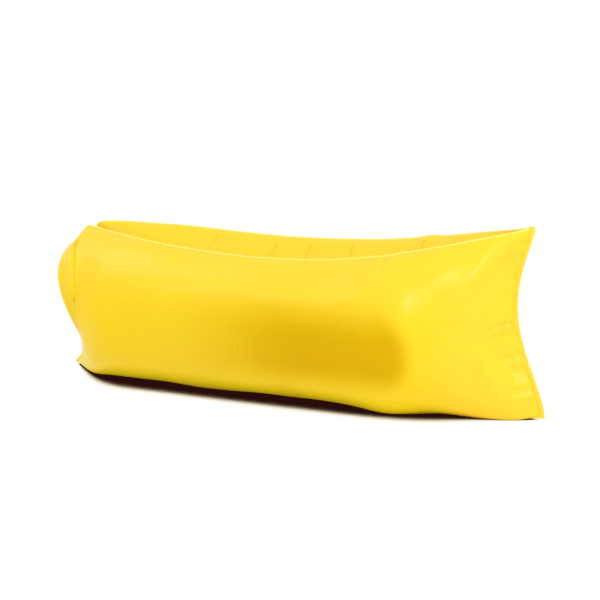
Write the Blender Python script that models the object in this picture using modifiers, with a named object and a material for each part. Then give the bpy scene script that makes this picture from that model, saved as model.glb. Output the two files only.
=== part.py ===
"""Inflatable air lounger, filled: two leaning air tubes on one keel, with a trough between their ridges.

All layers end in one upright hem at the foot. At the head the mouth of both tubes is rolled up and bent to
a C, whose tips a strap with a side-release buckle holds together. Lengths are in metres: X runs to the foot,
Z is up, the floor is Z = 0 and the part is even about the plane Y = 0. The front tube is at negative Y.
"""

import math

import bmesh
import bpy
import numpy as np
from mathutils import Matrix, Vector

PART_NAME = "inflatable_air_lounger"

# Driving sizes of the filled lounger
HALF_LENGTH = 0.965
RIDGE_HEIGHT = 0.538
RIDGE_SPREAD = 0.190
BELLY_REACH = 0.318

# Fabric, film and seams
FABRIC = 0.0008
FILM = 0.0003
CLEAR = 0.0003
SEAM_RADIUS = 0.0025
FOOT_HEM_WIDTH = 0.011
FOOT_HEM_GAP = 0.0006
BLADDER_INSET = 0.006
LEAST_FULLNESS = 0.3
LEAST_INNER_FULLNESS = 0.9

# The guide lines of the front tube, one row for each station from behind the mouth roll to the foot. X is a
# share of the half length, Y of the ridge spread or, on the belly, of the belly reach, and Z of the ridge
# height. A positive Y share lies on the tube's own side of the middle. The X shares are counted from a point
# just behind the middle.
MIDDLE_SHARE = 0.006
RIDGE_SHARES = (
    (-0.940, 0.16, 0.945),
    (-0.915, 0.19, 0.975),
    (-0.890, 0.22, 1.020),
    (-0.865, 0.25, 1.065),
    (-0.725, 0.50, 1.050),
    (-0.520, 0.82, 1.030),
    (-0.270, 0.95, 1.005),
    (-0.020, 1.00, 1.000),
    (0.230, 0.99, 1.025),
    (0.435, 0.95, 1.080),
    (0.600, 0.73, 1.135),
    (0.745, 0.46, 1.190),
    (0.860, 0.22, 1.235),
    (0.933, 0.00, 1.268),
)
BELLY_SHARES = (
    (-0.845, 0.365, 0.585),
    (-0.890, 0.680, 0.575),
    (-0.825, 0.770, 0.585),
    (-0.785, 0.810, 0.405),
    (-0.665, 0.970, 0.395),
    (-0.475, 0.990, 0.385),
    (-0.260, 1.000, 0.370),
    (-0.020, 1.000, 0.385),
    (0.220, 0.990, 0.390),
    (0.425, 0.945, 0.440),
    (0.590, 0.785, 0.455),
    (0.720, 0.520, 0.500),
    (0.815, 0.220, 0.605),
    (0.879, 0.000, 0.705),
)
KEEL_SHARES = (
    (-0.925, 0.0, 0.160),
    (-0.950, 0.0, 0.080),
    (-0.975, 0.0, 0.020),
    (-0.925, 0.0, 0.010),
    (-0.765, 0.0, 0.010),
    (-0.520, 0.0, 0.010),
    (-0.270, 0.0, 0.010),
    (-0.020, 0.0, 0.010),
    (0.230, 0.0, 0.010),
    (0.455, 0.0, 0.010),
    (0.640, 0.0, 0.010),
    (0.800, 0.0, 0.010),
    (0.930, 0.0, 0.010),
    (0.991, 0.0, 0.012),
)
INNER_SHARES = (
    (-0.745, 0.00, 0.560),
    (-0.725, 0.00, 0.560),
    (-0.700, 0.00, 0.540),
    (-0.665, -0.05, 0.520),
    (-0.600, -0.16, 0.500),
    (-0.460, -0.21, 0.500),
    (-0.260, -0.21, 0.495),
    (-0.020, -0.21, 0.495),
    (0.220, -0.21, 0.500),
    (0.425, -0.21, 0.520),
    (0.590, -0.16, 0.560),
    (0.720, -0.05, 0.595),
    (0.815, 0.00, 0.640),
    (0.879, 0.00, 0.705),
)
# How full each rib is: the height of its peak, its fullness along the lounger, above the belly and below it,
# and how far it leans back, as a share of the belly reach.
FULLNESS_SHARES = (
    (0.95, 1.2, 1.50, 1.40, 0.08),
    (0.95, 1.2, 1.85, 1.80, 0.14),
    (0.95, 1.5, 1.65, 1.35, 0.12),
    (0.98, 1.4, 1.20, 1.08, 0.13),
    (1.00, 1.0, 0.90, 1.13, 0.02),
    (1.00, 1.0, 0.90, 1.12, 0.00),
    (1.00, 1.0, 0.90, 1.08, 0.00),
    (1.00, 1.0, 0.90, 1.04, 0.00),
    (1.00, 1.0, 0.90, 1.09, 0.00),
    (1.00, 1.0, 0.90, 0.60, 0.00),
    (1.00, 1.2, 0.85, 0.94, 0.00),
    (1.00, 1.6, 0.80, 0.71, 0.00),
    (1.00, 2.0, 0.80, 0.36, 0.00),
    (1.00, 3.1, 1.00, 1.00, 0.00),
)
MOUTH_FULLNESS_SHARES = (1.0, 1.0, 1.0, 1.0, 0.0)
# Where the rows of a panel lie between the ridge and the keel. The last ones bound the strip it rests on.
ROW_SHARES = (0.0, 0.08, 0.17, 0.27, 0.38, 0.50, 0.61, 0.71, 0.80, 0.90, 0.95, 1.0)
BLADDER_ROW_SHARES = ROW_SHARES[1:-1:2] + ROW_SHARES[-2:-1]
STEPS_PER_STATION = 2
SEAM_START_SHARE = 0.4
SEAM_END_SHARE = 0.3
BLADDER_START_PLACE = 4
BLADDER_END_PLACE = 12

# The mouth roll: a sheet wound flat round two stiffener strips and bent to a C
ROLL_CENTRE_SHARE = -0.930
ROLL_CENTRE_X = (ROLL_CENTRE_SHARE - MIDDLE_SHARE) * HALF_LENGTH
ROLL_CENTRE_Z = 0.558 * RIDGE_HEIGHT
ROLL_HALF_HEIGHT = 0.330 * RIDGE_HEIGHT
ROLL_BOW = 0.150
ROLL_LEAN = 0.025
ROLL_TIP_SHARE = 0.05
ROLL_SHEET = 0.0009
ROLL_PITCH = 0.0013
ROLL_CORE = 0.0022
ROLL_FLAT = 0.0127
ROLL_TURNS = 2
ROLL_ARC_STEPS = 4
ROLL_OUTSIDE = ROLL_CORE + ROLL_SHEET + ROLL_TURNS * ROLL_PITCH
ROLL_INSIDE = ROLL_OUTSIDE - ROLL_PITCH / 2
MOUTH_GAP = 0.0010
MOUTH_PAST_FLAT = 0.0021
MOUTH_HALF_WIDTH = ROLL_FLAT + MOUTH_PAST_FLAT
MOUTH_TAPER_SHARE = 0.15
STIFFENER = 0.0012
STIFFENER_HALF_WIDTH = 0.0135
STIFFENER_TIP_SHARE = 0.04

# Webbing
WEBBING = 0.0016
WEBBING_HALF_WIDTH = 0.0125
STRAP_BEND = 0.009
STRAP_PAST_TIP = 0.004
STRAP_RETURN = 0.035
STRAP_LEG_OFFSET = WEBBING / 2 + CLEAR / 2
BEND_STEPS = 4
LOOP_STEPS = 6

# The side-release buckle in its own frame: x up the strap from the socket's mouth, y across, z outward
BUCKLE_HALF_WIDTH = 0.018
BUCKLE_HALF_HEIGHT = 0.006
BUCKLE_EDGE = 0.0012
BAR_RADIUS = 0.0022
BAR_HALF_LENGTH = 0.0135
BAR_SIDES = 16
LOOP_RADIUS = BAR_RADIUS + CLEAR + WEBBING / 2
LEGS_MEET = 0.0145
SOCKET_BAR = 0.0405
SOCKET_CORNER = 0.003
CAVITY_DEPTH = 0.030
CAVITY_HALF_WIDTH = 0.0140
CAVITY_HALF_HEIGHT = 0.0038
SCOOP_RADIUS = 0.010
SCOOP_DEPTH = 0.0020
PLUG_FACE = -0.0004
PLUG_BAR = -0.0145
TONGUE_LENGTH = 0.0265
TONGUE_ROOT_HALF = 0.0035
TONGUE_TIP_HALF = 0.0025
PRONG_HALF_HEIGHT = 0.0030
PRONG_EYE_X = -0.0032
PRONG_EYE_Y = 0.0108
PRONG_EYE_RADIUS = 0.0022
PRONG_ARM_INNER = 0.0012
PRONG_ARM_OUTER = 0.0014
PAD_BACK = 0.0152
PAD_STEP = 0.0048
PAD_PEAK_X = 0.0242
PAD_PEAK = 0.0057
PRONG_TIP_X = 0.0294
PRONG_TIP_OUTER = 0.0007
EYE_STEPS = 8
POCKET_CLEAR = 0.0004
POCKET_MOUTH_HALF = 0.0022
WINDOW_BEHIND = 0.0004
WINDOW_BEYOND = 0.0033
CUT_OVERRUN = 0.004

# Base colour, roughness and metallic of each material
MATERIALS = {
    "ripstop_nylon": ((0.98, 0.71, 0.03), 0.42, 0.0),
    "seam_binding": ((0.98, 0.78, 0.10), 0.50, 0.0),
    "liner_film": ((0.75, 0.76, 0.72), 0.30, 0.0),
    "stiffener_plastic": ((0.06, 0.06, 0.06), 0.50, 0.0),
    "black_webbing": ((0.02, 0.02, 0.02), 0.85, 0.0),
    "buckle_plastic": ((0.025, 0.025, 0.025), 0.38, 0.0),
}


def clear_scene():
    """Take out every object of the startup scene."""
    for obj in list(bpy.data.objects):
        bpy.data.objects.remove(obj, do_unlink=True)


def new_collection(name):
    """A collection under the scene's own."""
    collection = bpy.data.collections.new(name)
    bpy.context.scene.collection.children.link(collection)
    return collection


def new_material(name):
    """The Principled material of one slot."""
    colour, roughness, metallic = MATERIALS[name]
    material = bpy.data.materials.new(name)
    material.use_nodes = True
    shader = material.node_tree.nodes["Principled BSDF"]
    shader.inputs["Base Color"].default_value = (*colour, 1.0)
    shader.inputs["Roughness"].default_value = roughness
    shader.inputs["Metallic"].default_value = metallic
    return material


def new_part(name, data, material):
    """A named sub-part with its material."""
    data.materials.append(bpy.data.materials[material])
    obj = bpy.data.objects.new(name, data)
    bpy.data.collections[PART_NAME].objects.link(obj)
    return obj


def new_tool(name, data):
    """A helper solid that cuts or adds to a part and is not one itself."""
    obj = bpy.data.objects.new(name, data)
    obj.hide_render = True
    obj.display_type = "WIRE"
    bpy.data.collections["cutters"].objects.link(obj)
    return obj


def mesh_from(name, points, faces):
    """A mesh from points and the corners of its faces."""
    mesh = bpy.data.meshes.new(name)
    mesh.from_pydata([tuple(point) for point in points], [], faces)
    mesh.update()
    return mesh


def smooth(rows, place):
    """The point at a place along rows, where row 0 lies at place 0, on a Catmull-Rom curve."""
    last = len(rows) - 1
    first = min(int(place), last - 1)
    share = place - first
    start = rows[first]
    end = rows[first + 1]
    start_slope = (end - rows[first - 1]) / 2 if first > 0 else end - start
    end_slope = (rows[first + 2] - start) / 2 if first + 1 < last else end - start
    rest = 1 - share
    return (
        (1 + 2 * share) * rest**2 * start
        + share * rest**2 * start_slope
        + share**2 * (3 - 2 * share) * end
        - share**2 * rest * end_slope
    )


def unit(vector):
    """The vector at length one."""
    return vector / np.linalg.norm(vector)


def roll_line(way, outward=0.0):
    """A point of the C that the mouth roll follows, from its upper end, 0, to its lower one, 1."""
    turn = math.pi * way
    up = np.array((-ROLL_LEAN, 0.0, ROLL_HALF_HEIGHT))
    bow = np.array((ROLL_BOW, 0.0, 0.0))
    centre = np.array((ROLL_CENTRE_X, 0.0, ROLL_CENTRE_Z))
    point = centre + up * math.cos(turn) + bow * math.sin(turn)
    along = unit(bow * math.cos(turn) - up * math.sin(turn))
    return point + outward * np.array((-along[2], 0.0, along[0]))


def roll_direction(way):
    """The unit vector along the roll towards its lower tip."""
    along = roll_line(way, ROLL_CORE) - roll_line(way)
    return unit(np.array((along[2], 0.0, -along[0])))


def guide_line(first, shares, reach):
    """The points of one guide line of the front tube, from the mouth roll to the foot."""
    scale = np.array((HALF_LENGTH, -reach, RIDGE_HEIGHT))
    middle = np.array((MIDDLE_SHARE, 0.0, 0.0))
    return np.array([first, *((np.array(row) - middle) * scale for row in shares)])


def tube_guides():
    """The ridge, belly, keel, inner and fullness lines of the front tube."""
    outward = ROLL_OUTSIDE + MOUTH_GAP
    edge = np.array((0.0, -MOUTH_HALF_WIDTH, 0.0))
    top = roll_line(0, outward)
    middle = roll_line(1 / 2, outward)
    bottom = roll_line(1, outward)
    fullness = np.array((MOUTH_FULLNESS_SHARES, *FULLNESS_SHARES))
    fullness[:, 4] *= BELLY_REACH
    return {
        "ridge": guide_line(top + edge, RIDGE_SHARES, RIDGE_SPREAD),
        "belly": guide_line(middle + edge, BELLY_SHARES, BELLY_REACH),
        "keel": guide_line(bottom, KEEL_SHARES, BELLY_REACH),
        "inner": guide_line(middle, INNER_SHARES, RIDGE_SPREAD),
        "fullness": fullness,
    }


GUIDES = tube_guides()
LAST_PLACE = len(RIDGE_SHARES)
INNER_LAYER = CLEAR
OUTER_LAYER = INNER_LAYER + 2 * FABRIC + 2 * CLEAR


def skin_point(place, way, inner):
    """A point of the front tube's fabric at a place along it and a way from the ridge, 0, to the keel, 1."""
    ridge = smooth(GUIDES["ridge"], place)
    keel = smooth(GUIDES["keel"], place)
    peak, side, above, below, lean = smooth(GUIDES["fullness"], place)
    belly = smooth(GUIDES["inner" if inner else "belly"], place)
    if inner:
        peak = 1
        lean = 0
        above = max(above, LEAST_INNER_FULLNESS)
        below = max(below, LEAST_INNER_FULLNESS)
    middle = (ridge + keel) / 2
    eased = way**peak
    swell = abs(math.sin(math.pi * eased))
    across = swell ** max(above if eased < 1 / 2 else below, LEAST_FULLNESS)
    point = middle + (ridge - keel) / 2 * math.cos(math.pi * way)
    point += (belly - middle) * np.array((swell**side, across, across))
    point[0] -= lean * math.sin(2 * math.pi * way)
    near_mouth = max(1 - place, 0) * min((1 - way) / MOUTH_TAPER_SHARE, 1)
    outer_layer = OUTER_LAYER + (MOUTH_HALF_WIDTH - OUTER_LAYER) * near_mouth
    if inner:
        point[1] = max(point[1], ridge[1] + 2 * (FABRIC + CLEAR) * max(1 - place, 0))
    point[1] = min(point[1], -(INNER_LAYER if inner else outer_layer))
    point[2] = max(point[2], 0)
    return point


def seam_stop(place, line, edge_way, inner):
    """The way at which a rib of the fabric stops short of the seam that runs along a guide line."""
    step = 1 / (2 * STEPS_PER_STATION)
    seam = smooth(GUIDES[line], place)
    behind = smooth(GUIDES[line], max(place - step, 0))
    ahead = smooth(GUIDES[line], min(place + step, LAST_PLACE))
    along = unit(ahead - behind)
    near = edge_way
    far = 1 / 2
    for _ in range(24):
        way = (near + far) / 2
        off_seam = np.linalg.norm(np.cross(skin_point(place, way, inner) - seam, along))
        if off_seam < SEAM_RADIUS + 4 * CLEAR:
            near = way
        else:
            far = way
    return far


def panel_rows(inner):
    """The rows of points of one panel of the front tube, one row for each rib."""
    rows = []
    for count in range(LAST_PLACE * STEPS_PER_STATION + 1):
        place = count / STEPS_PER_STATION
        start = seam_stop(place, "ridge", 0, inner)
        end = seam_stop(place, "keel", 1, inner)
        rows.append([skin_point(place, start + (end - start) * share, inner) for share in ROW_SHARES])
    return rows


def mirrored(rows):
    """The same rows on the rear side."""
    return [[point * np.array((1, -1, 1)) for point in row] for row in rows]


def grid_mesh(name, rows, flipped):
    """A sheet of four-sided faces through rows of points."""
    across = len(rows[0])
    faces = []
    for row in range(len(rows) - 1):
        for column in range(across - 1):
            corner = row * across + column
            face = (corner, corner + 1, corner + across + 1, corner + across)
            faces.append(face[::-1] if flipped else face)
    return mesh_from(name, [point for row in rows for point in row], faces)


def sheet(name, rows, material, thickness, offset, flipped=False):
    """A sheet part with its thickness on the inner side, offset -1, or on both, offset 0."""
    thicken(new_part(name, grid_mesh(name, rows, flipped), material), thickness, offset)


def thicken(obj, thickness, offset):
    """Give a sheet its thickness, on three-sided faces so that both its sides match."""
    obj.modifiers.new("faces", "TRIANGULATE").quad_method = "SHORTEST_DIAGONAL"
    solid = obj.modifiers.new("thickness", "SOLIDIFY")
    solid.thickness = thickness
    solid.offset = offset


def bead(name, points, radius, material):
    """A round bead along a line of points."""
    curve = bpy.data.curves.new(name, "CURVE")
    curve.dimensions = "3D"
    curve.bevel_depth = radius
    curve.bevel_resolution = 2
    curve.use_fill_caps = True
    spline = curve.splines.new("POLY")
    spline.points.add(len(points) - 1)
    for point, place in zip(spline.points, points):
        point.co = (*place, 1.0)
    return new_part(name, curve, material)


def build_panels(outer, inner):
    """The four fabric panels of the two tubes."""
    sheet("front_outer_panel", outer, "ripstop_nylon", FABRIC, -1)
    sheet("rear_outer_panel", mirrored(outer), "ripstop_nylon", FABRIC, -1, flipped=True)
    sheet("front_inner_panel", inner, "ripstop_nylon", FABRIC, -1, flipped=True)
    sheet("rear_inner_panel", mirrored(inner), "ripstop_nylon", FABRIC, -1)


def seam_line(line):
    """The points of a seam along a guide line, at the panels' ribs but for two ends that stop short."""
    count = LAST_PLACE * STEPS_PER_STATION + 1
    ribs = [smooth(GUIDES[line], number / STEPS_PER_STATION) for number in range(count)]
    start = ribs[0] + (ribs[1] - ribs[0]) * SEAM_START_SHARE
    end = ribs[-1] + (ribs[-2] - ribs[-1]) * SEAM_END_SHARE
    return [start, *ribs[1:-1], end]


def build_seams(outer):
    """The bound seams along both ridges and the keel, and the hem at the foot."""
    ridge = seam_line("ridge")
    bead("front_ridge_seam", ridge, SEAM_RADIUS, "seam_binding")
    bead("rear_ridge_seam", mirrored([ridge])[0], SEAM_RADIUS, "seam_binding")
    bead("keel_seam", seam_line("keel"), SEAM_RADIUS, "seam_binding")
    build_foot_hem([point * np.array((1, 0, 1)) for point in outer[-1]])


def build_foot_hem(rib):
    """The flat hem that the layers of both tubes end in, along the last rib."""
    rows = []
    for number, point in enumerate(rib):
        before = rib[max(number - 1, 0)]
        after = rib[min(number + 1, len(rib) - 1)]
        down = unit(after - before)
        out = np.array((-down[2], 0.0, down[0]))
        rows.append([point + out * FOOT_HEM_GAP, point + out * (FOOT_HEM_GAP + FOOT_HEM_WIDTH)])
    sheet("foot_end_seam", rows, "seam_binding", 2 * (OUTER_LAYER + CLEAR), 0)


def bladder_ring(place):
    """One ring of the liner, a little inside the front tube's fabric."""
    outer = [skin_point(place, share, False) for share in BLADDER_ROW_SHARES]
    inner = [skin_point(place, share, True) for share in BLADDER_ROW_SHARES]
    pairs = list(zip(outer, inner))
    near = [out + unit(inn - out) * BLADDER_INSET for out, inn in pairs]
    far = [inn + unit(out - inn) * BLADDER_INSET for out, inn in pairs]
    ring = [*near, *reversed(far)]
    for point in ring:
        point[2] = max(point[2], BLADDER_INSET)
    return ring


def build_bladder(name, rings, flipped):
    """A film liner through rings of points, closed at the foot and open at the head."""
    across = len(rings[0])
    faces = []
    for row in range(len(rings) - 1):
        for column in range(across):
            start = row * across + column
            following = row * across + (column + 1) % across
            face = (start, following, following + across, start + across)
            faces.append(face[::-1] if flipped else face)
    last = (len(rings) - 1) * across
    cap = tuple(range(last, last + across))
    faces.append(cap[::-1] if flipped else cap)
    points = [point for ring in rings for point in ring]
    thicken(new_part(name, mesh_from(name, points, faces), "liner_film"), FILM, -1)


def build_bladders():
    """The two film liners."""
    first = int(BLADDER_START_PLACE * STEPS_PER_STATION)
    last = int(BLADDER_END_PLACE * STEPS_PER_STATION)
    rings = [bladder_ring(count / STEPS_PER_STATION) for count in range(first, last + 1)]
    build_bladder("front_air_bladder", rings, False)
    build_bladder("rear_air_bladder", mirrored(rings), True)


def roll_section():
    """The wound sheet's section: for each point across and outward places of its inner and its outer face."""
    radius = ROLL_CORE + ROLL_SHEET / 2
    section = [(ROLL_FLAT, 1 / 4, radius)]
    for half_turn in range(2 * ROLL_TURNS):
        side = -1 if half_turn % 2 == 0 else 1
        for step in range(ROLL_ARC_STEPS + 1):
            turned = half_turn / 2 + step / (2 * ROLL_ARC_STEPS)
            section.append((side * ROLL_FLAT, 1 / 4 + turned, radius + ROLL_PITCH * turned))
    section.append((-ROLL_FLAT, 1 / 4, radius + ROLL_PITCH * ROLL_TURNS))
    sides = []
    for across, turned, distance in section:
        angle = 2 * math.pi * turned
        for reach in (distance - ROLL_SHEET / 2, distance + ROLL_SHEET / 2):
            sides.append((across + reach * math.cos(angle), reach * math.sin(angle)))
    return sides[0::2], sides[1::2]


def roll_ways(tip_share):
    """The ways along the roll of its sections, which are those of the panels' rows and of its two tips."""
    return (-tip_share, *ROW_SHARES, 1 + tip_share)


def roll_point(way, across, outward):
    """A point beside the roll's line."""
    return roll_line(way, outward) + np.array((0.0, across, 0.0))


def build_mouth_roll():
    """The mouth of both tubes, wound flat and bent to a C."""
    inner, outer = roll_section()
    loop = [*inner, *reversed(outer)]
    around = len(loop)
    points = []
    faces = []
    ways = roll_ways(ROLL_TIP_SHARE)
    for way in ways:
        points += [roll_point(way, across, outward) for across, outward in loop]
    for row in range(len(ways) - 1):
        for column in range(around):
            following = (column + 1) % around
            near = row * around
            far = near + around
            faces.append((near + column, near + following, far + following, far + column))
    last = (len(ways) - 1) * around
    for column in range(len(inner) - 1):
        cap = (column, around - 1 - column, around - 2 - column, column + 1)
        faces.append(cap)
        faces.append(tuple(last + corner for corner in reversed(cap)))
    mesh = mesh_from("mouth_roll", points, faces)
    turn_outward(mesh)
    new_part("mouth_roll", mesh, "ripstop_nylon")


def turn_outward(mesh):
    """Make the faces of a closed mesh face out."""
    work = bmesh.new()
    work.from_mesh(mesh)
    bmesh.ops.recalc_face_normals(work, faces=work.faces)
    work.to_mesh(mesh)
    work.free()


def build_stiffeners():
    """The two flexible strips in the core of the roll."""
    middle = (STIFFENER + 2 * CLEAR) / 2
    edges = (-STIFFENER_HALF_WIDTH, STIFFENER_HALF_WIDTH)
    for name, outward in (("front_stiffener_strip", -middle), ("rear_stiffener_strip", middle)):
        ways = roll_ways(STIFFENER_TIP_SHARE)
        rows = [[roll_point(way, across, outward) for across in edges] for way in ways]
        sheet(name, rows, "stiffener_plastic", STIFFENER, 0)


STRAP_LINE = -(ROLL_INSIDE + CLEAR + WEBBING / 2)


def bend_centre(way, side):
    """The centre of the bend that takes a strap off a tip of the roll. side is 1 at the upper tip."""
    outward_along = -side * roll_direction(way)
    start = roll_line(way, STRAP_LINE) + outward_along * STRAP_PAST_TIP
    inward = roll_line(way) - roll_line(way, ROLL_CORE)
    return start + unit(inward) * STRAP_BEND


def buckle_frame():
    """The frame of the buckle in the middle of the chord between the two bends."""
    upper = bend_centre(-ROLL_TIP_SHARE, 1)
    lower = bend_centre(1 + ROLL_TIP_SHARE, -1)
    up = unit(upper - lower)
    out = np.array((-up[2], 0.0, up[0]))
    origin = (upper + lower) / 2 + out * (STRAP_BEND - STRAP_LEG_OFFSET)
    columns = (Vector(up), Vector((0.0, 1.0, 0.0)), Vector(out))
    frame = Matrix.Identity(4)
    for number, column in enumerate(columns):
        frame.col[number] = column.to_4d()
        frame[3][number] = 0.0
    frame.translation = Vector(origin)
    return frame


FRAME = buckle_frame()


def in_world(along, out):
    """A point of the buckle's middle plane in the world."""
    return np.array(FRAME @ Vector((along, 0.0, out)))


def strap_path(way_shares, side, bar):
    """The middle line of a strap from its stitched end on the roll, round its bar and back on itself."""
    path = [roll_line(way, STRAP_LINE) for way in way_shares]
    tip = way_shares[-1]
    centre = bend_centre(tip, side)
    start = roll_line(tip, STRAP_LINE) - side * roll_direction(tip) * STRAP_PAST_TIP - centre
    end = np.array(FRAME.col[2].to_3d()) * STRAP_BEND
    opening = math.acos(float(np.dot(start, end)) / STRAP_BEND**2)
    for step in range(BEND_STEPS + 1):
        share = step / BEND_STEPS
        mixed = start * math.sin((1 - share) * opening) + end * math.sin(share * opening)
        path.append(centre + mixed / math.sin(opening))
    path.append(in_world(bar + side * LEGS_MEET, STRAP_LEG_OFFSET))
    for step in range(LOOP_STEPS + 1):
        angle = math.pi * step / LOOP_STEPS
        path.append(in_world(bar - side * LOOP_RADIUS * math.sin(angle), LOOP_RADIUS * math.cos(angle)))
    path.append(in_world(bar + side * LEGS_MEET, -STRAP_LEG_OFFSET))
    path.append(in_world(bar + side * (LEGS_MEET + STRAP_RETURN), -STRAP_LEG_OFFSET))
    return path


def build_strap(name, path):
    """A webbing strap along its middle line."""
    edges = (np.array((0.0, -WEBBING_HALF_WIDTH, 0.0)), np.array((0.0, WEBBING_HALF_WIDTH, 0.0)))
    rows = [[point + edge for edge in edges] for point in path]
    sheet(name, rows, "black_webbing", WEBBING, 0)


def build_straps():
    """The two straps, each stitched on the hollow side of the roll near its tip."""
    upper_ways = (ROW_SHARES[1], ROW_SHARES[0], -ROLL_TIP_SHARE)
    lower_ways = (ROW_SHARES[-2], ROW_SHARES[-1], 1 + ROLL_TIP_SHARE)
    build_strap("upper_strap", strap_path(upper_ways, 1, SOCKET_BAR))
    build_strap("lower_strap", strap_path(lower_ways, -1, PLUG_BAR))


def box_mesh(name, low, high):
    """A box between two corners."""
    mesh = bpy.data.meshes.new(name)
    work = bmesh.new()
    bmesh.ops.create_cube(work, size=1)
    size = Vector(high) - Vector(low)
    middle = (Vector(high) + Vector(low)) / 2
    place = Matrix.Translation(middle) @ Matrix.Diagonal((*size, 1))
    bmesh.ops.transform(work, matrix=place, verts=work.verts)
    work.to_mesh(mesh)
    work.free()
    return mesh


def rod_mesh(name, centre, radius, length, turn, sides):
    """A round rod about a centre. turn sets its axis, which is z without one."""
    mesh = bpy.data.meshes.new(name)
    work = bmesh.new()
    bmesh.ops.create_cone(work, cap_ends=True, segments=sides, radius1=radius, radius2=radius, depth=length)
    bmesh.ops.transform(work, matrix=Matrix.Translation(centre) @ turn, verts=work.verts)
    work.to_mesh(mesh)
    work.free()
    return mesh


def prism_mesh(name, outline, half_height):
    """An outline in x and y made a plate of even height about z = 0."""
    count = len(outline)
    points = [(x, y, z) for z in (-half_height, half_height) for x, y in outline]
    faces = [tuple(range(count))[::-1], tuple(range(count, 2 * count))]
    for number in range(count):
        following = (number + 1) % count
        faces.append((number, following, following + count, number + count))
    mesh = mesh_from(name, points, faces)
    turn_outward(mesh)
    return mesh


def round_edges(obj, width):
    """A small round on the sharp edges of a part."""
    rounding = obj.modifiers.new("rounding", "BEVEL")
    rounding.width = width
    rounding.segments = 2
    rounding.limit_method = "ANGLE"


def change(obj, tool, operation):
    """Cut a tool from a part, or add it."""
    step = obj.modifiers.new(tool.name, "BOOLEAN")
    step.operation = operation
    step.solver = "EXACT"
    step.object = tool


def buckle_tool(name, mesh):
    """A helper solid placed in the buckle's frame."""
    tool = new_tool(name, mesh)
    tool.matrix_world = FRAME
    return tool


def add_bar(obj, bar, side):
    """Open the strap slot of a buckle half and put its bar across. side is 1 at the upper end."""
    name = obj.name
    ends = sorted((bar - side * (LOOP_RADIUS + WEBBING), bar + side * (BAR_RADIUS + CUT_OVERRUN)))
    slot_low = (ends[0], -BAR_HALF_LENGTH, -BUCKLE_HALF_HEIGHT - CUT_OVERRUN)
    slot_high = (ends[1], BAR_HALF_LENGTH, BUCKLE_HALF_HEIGHT + CUT_OVERRUN)
    change(obj, buckle_tool(f"{name}_slot", box_mesh(f"{name}_slot", slot_low, slot_high)), "DIFFERENCE")
    across = Matrix.Rotation(math.pi / 2, 4, "X")
    length = 2 * (BAR_HALF_LENGTH + BAR_RADIUS)
    rod = rod_mesh(f"{name}_bar", (bar, 0.0, 0.0), BAR_RADIUS, length, across, BAR_SIDES)
    change(obj, buckle_tool(f"{name}_bar", rod), "UNION")


def build_socket():
    """The female half: a flat housing with a throat, side windows, finger scoops and a strap bar."""
    end = SOCKET_BAR + BAR_RADIUS
    wide = BUCKLE_HALF_WIDTH
    narrow = BUCKLE_HALF_WIDTH - SOCKET_CORNER
    outline = (
        (0.0, -wide),
        (end - SOCKET_CORNER, -wide),
        (end, -narrow),
        (end, narrow),
        (end - SOCKET_CORNER, wide),
        (0.0, wide),
    )
    body = prism_mesh("buckle_socket", outline, BUCKLE_HALF_HEIGHT)
    obj = new_part("buckle_socket", body, "buckle_plastic")
    obj.matrix_world = FRAME
    round_edges(obj, BUCKLE_EDGE)
    throat_low = (-CUT_OVERRUN, -CAVITY_HALF_WIDTH, -CAVITY_HALF_HEIGHT)
    throat_high = (CAVITY_DEPTH, CAVITY_HALF_WIDTH, CAVITY_HALF_HEIGHT)
    throat = box_mesh("socket_throat", throat_low, throat_high)
    change(obj, buckle_tool("socket_throat", throat), "DIFFERENCE")
    window_start = PRONG_EYE_X + PAD_BACK - WINDOW_BEHIND
    window_end = PRONG_EYE_X + PAD_PEAK_X + WINDOW_BEYOND
    window_low = (window_start, -wide - CUT_OVERRUN, -CAVITY_HALF_HEIGHT)
    window_high = (window_end, wide + CUT_OVERRUN, CAVITY_HALF_HEIGHT)
    windows = box_mesh("socket_windows", window_low, window_high)
    change(obj, buckle_tool("socket_windows", windows), "DIFFERENCE")
    for name, side in (("front_scoop", -1), ("rear_scoop", 1)):
        centre = ((window_start + window_end) / 2, side * (wide - SCOOP_DEPTH + SCOOP_RADIUS), 0.0)
        height = 2 * (BUCKLE_HALF_HEIGHT + CUT_OVERRUN)
        scoop = rod_mesh(name, centre, SCOOP_RADIUS, height, Matrix.Identity(4), 2 * BAR_SIDES)
        change(obj, buckle_tool(name, scoop), "DIFFERENCE")
    add_bar(obj, SOCKET_BAR, 1)


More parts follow.
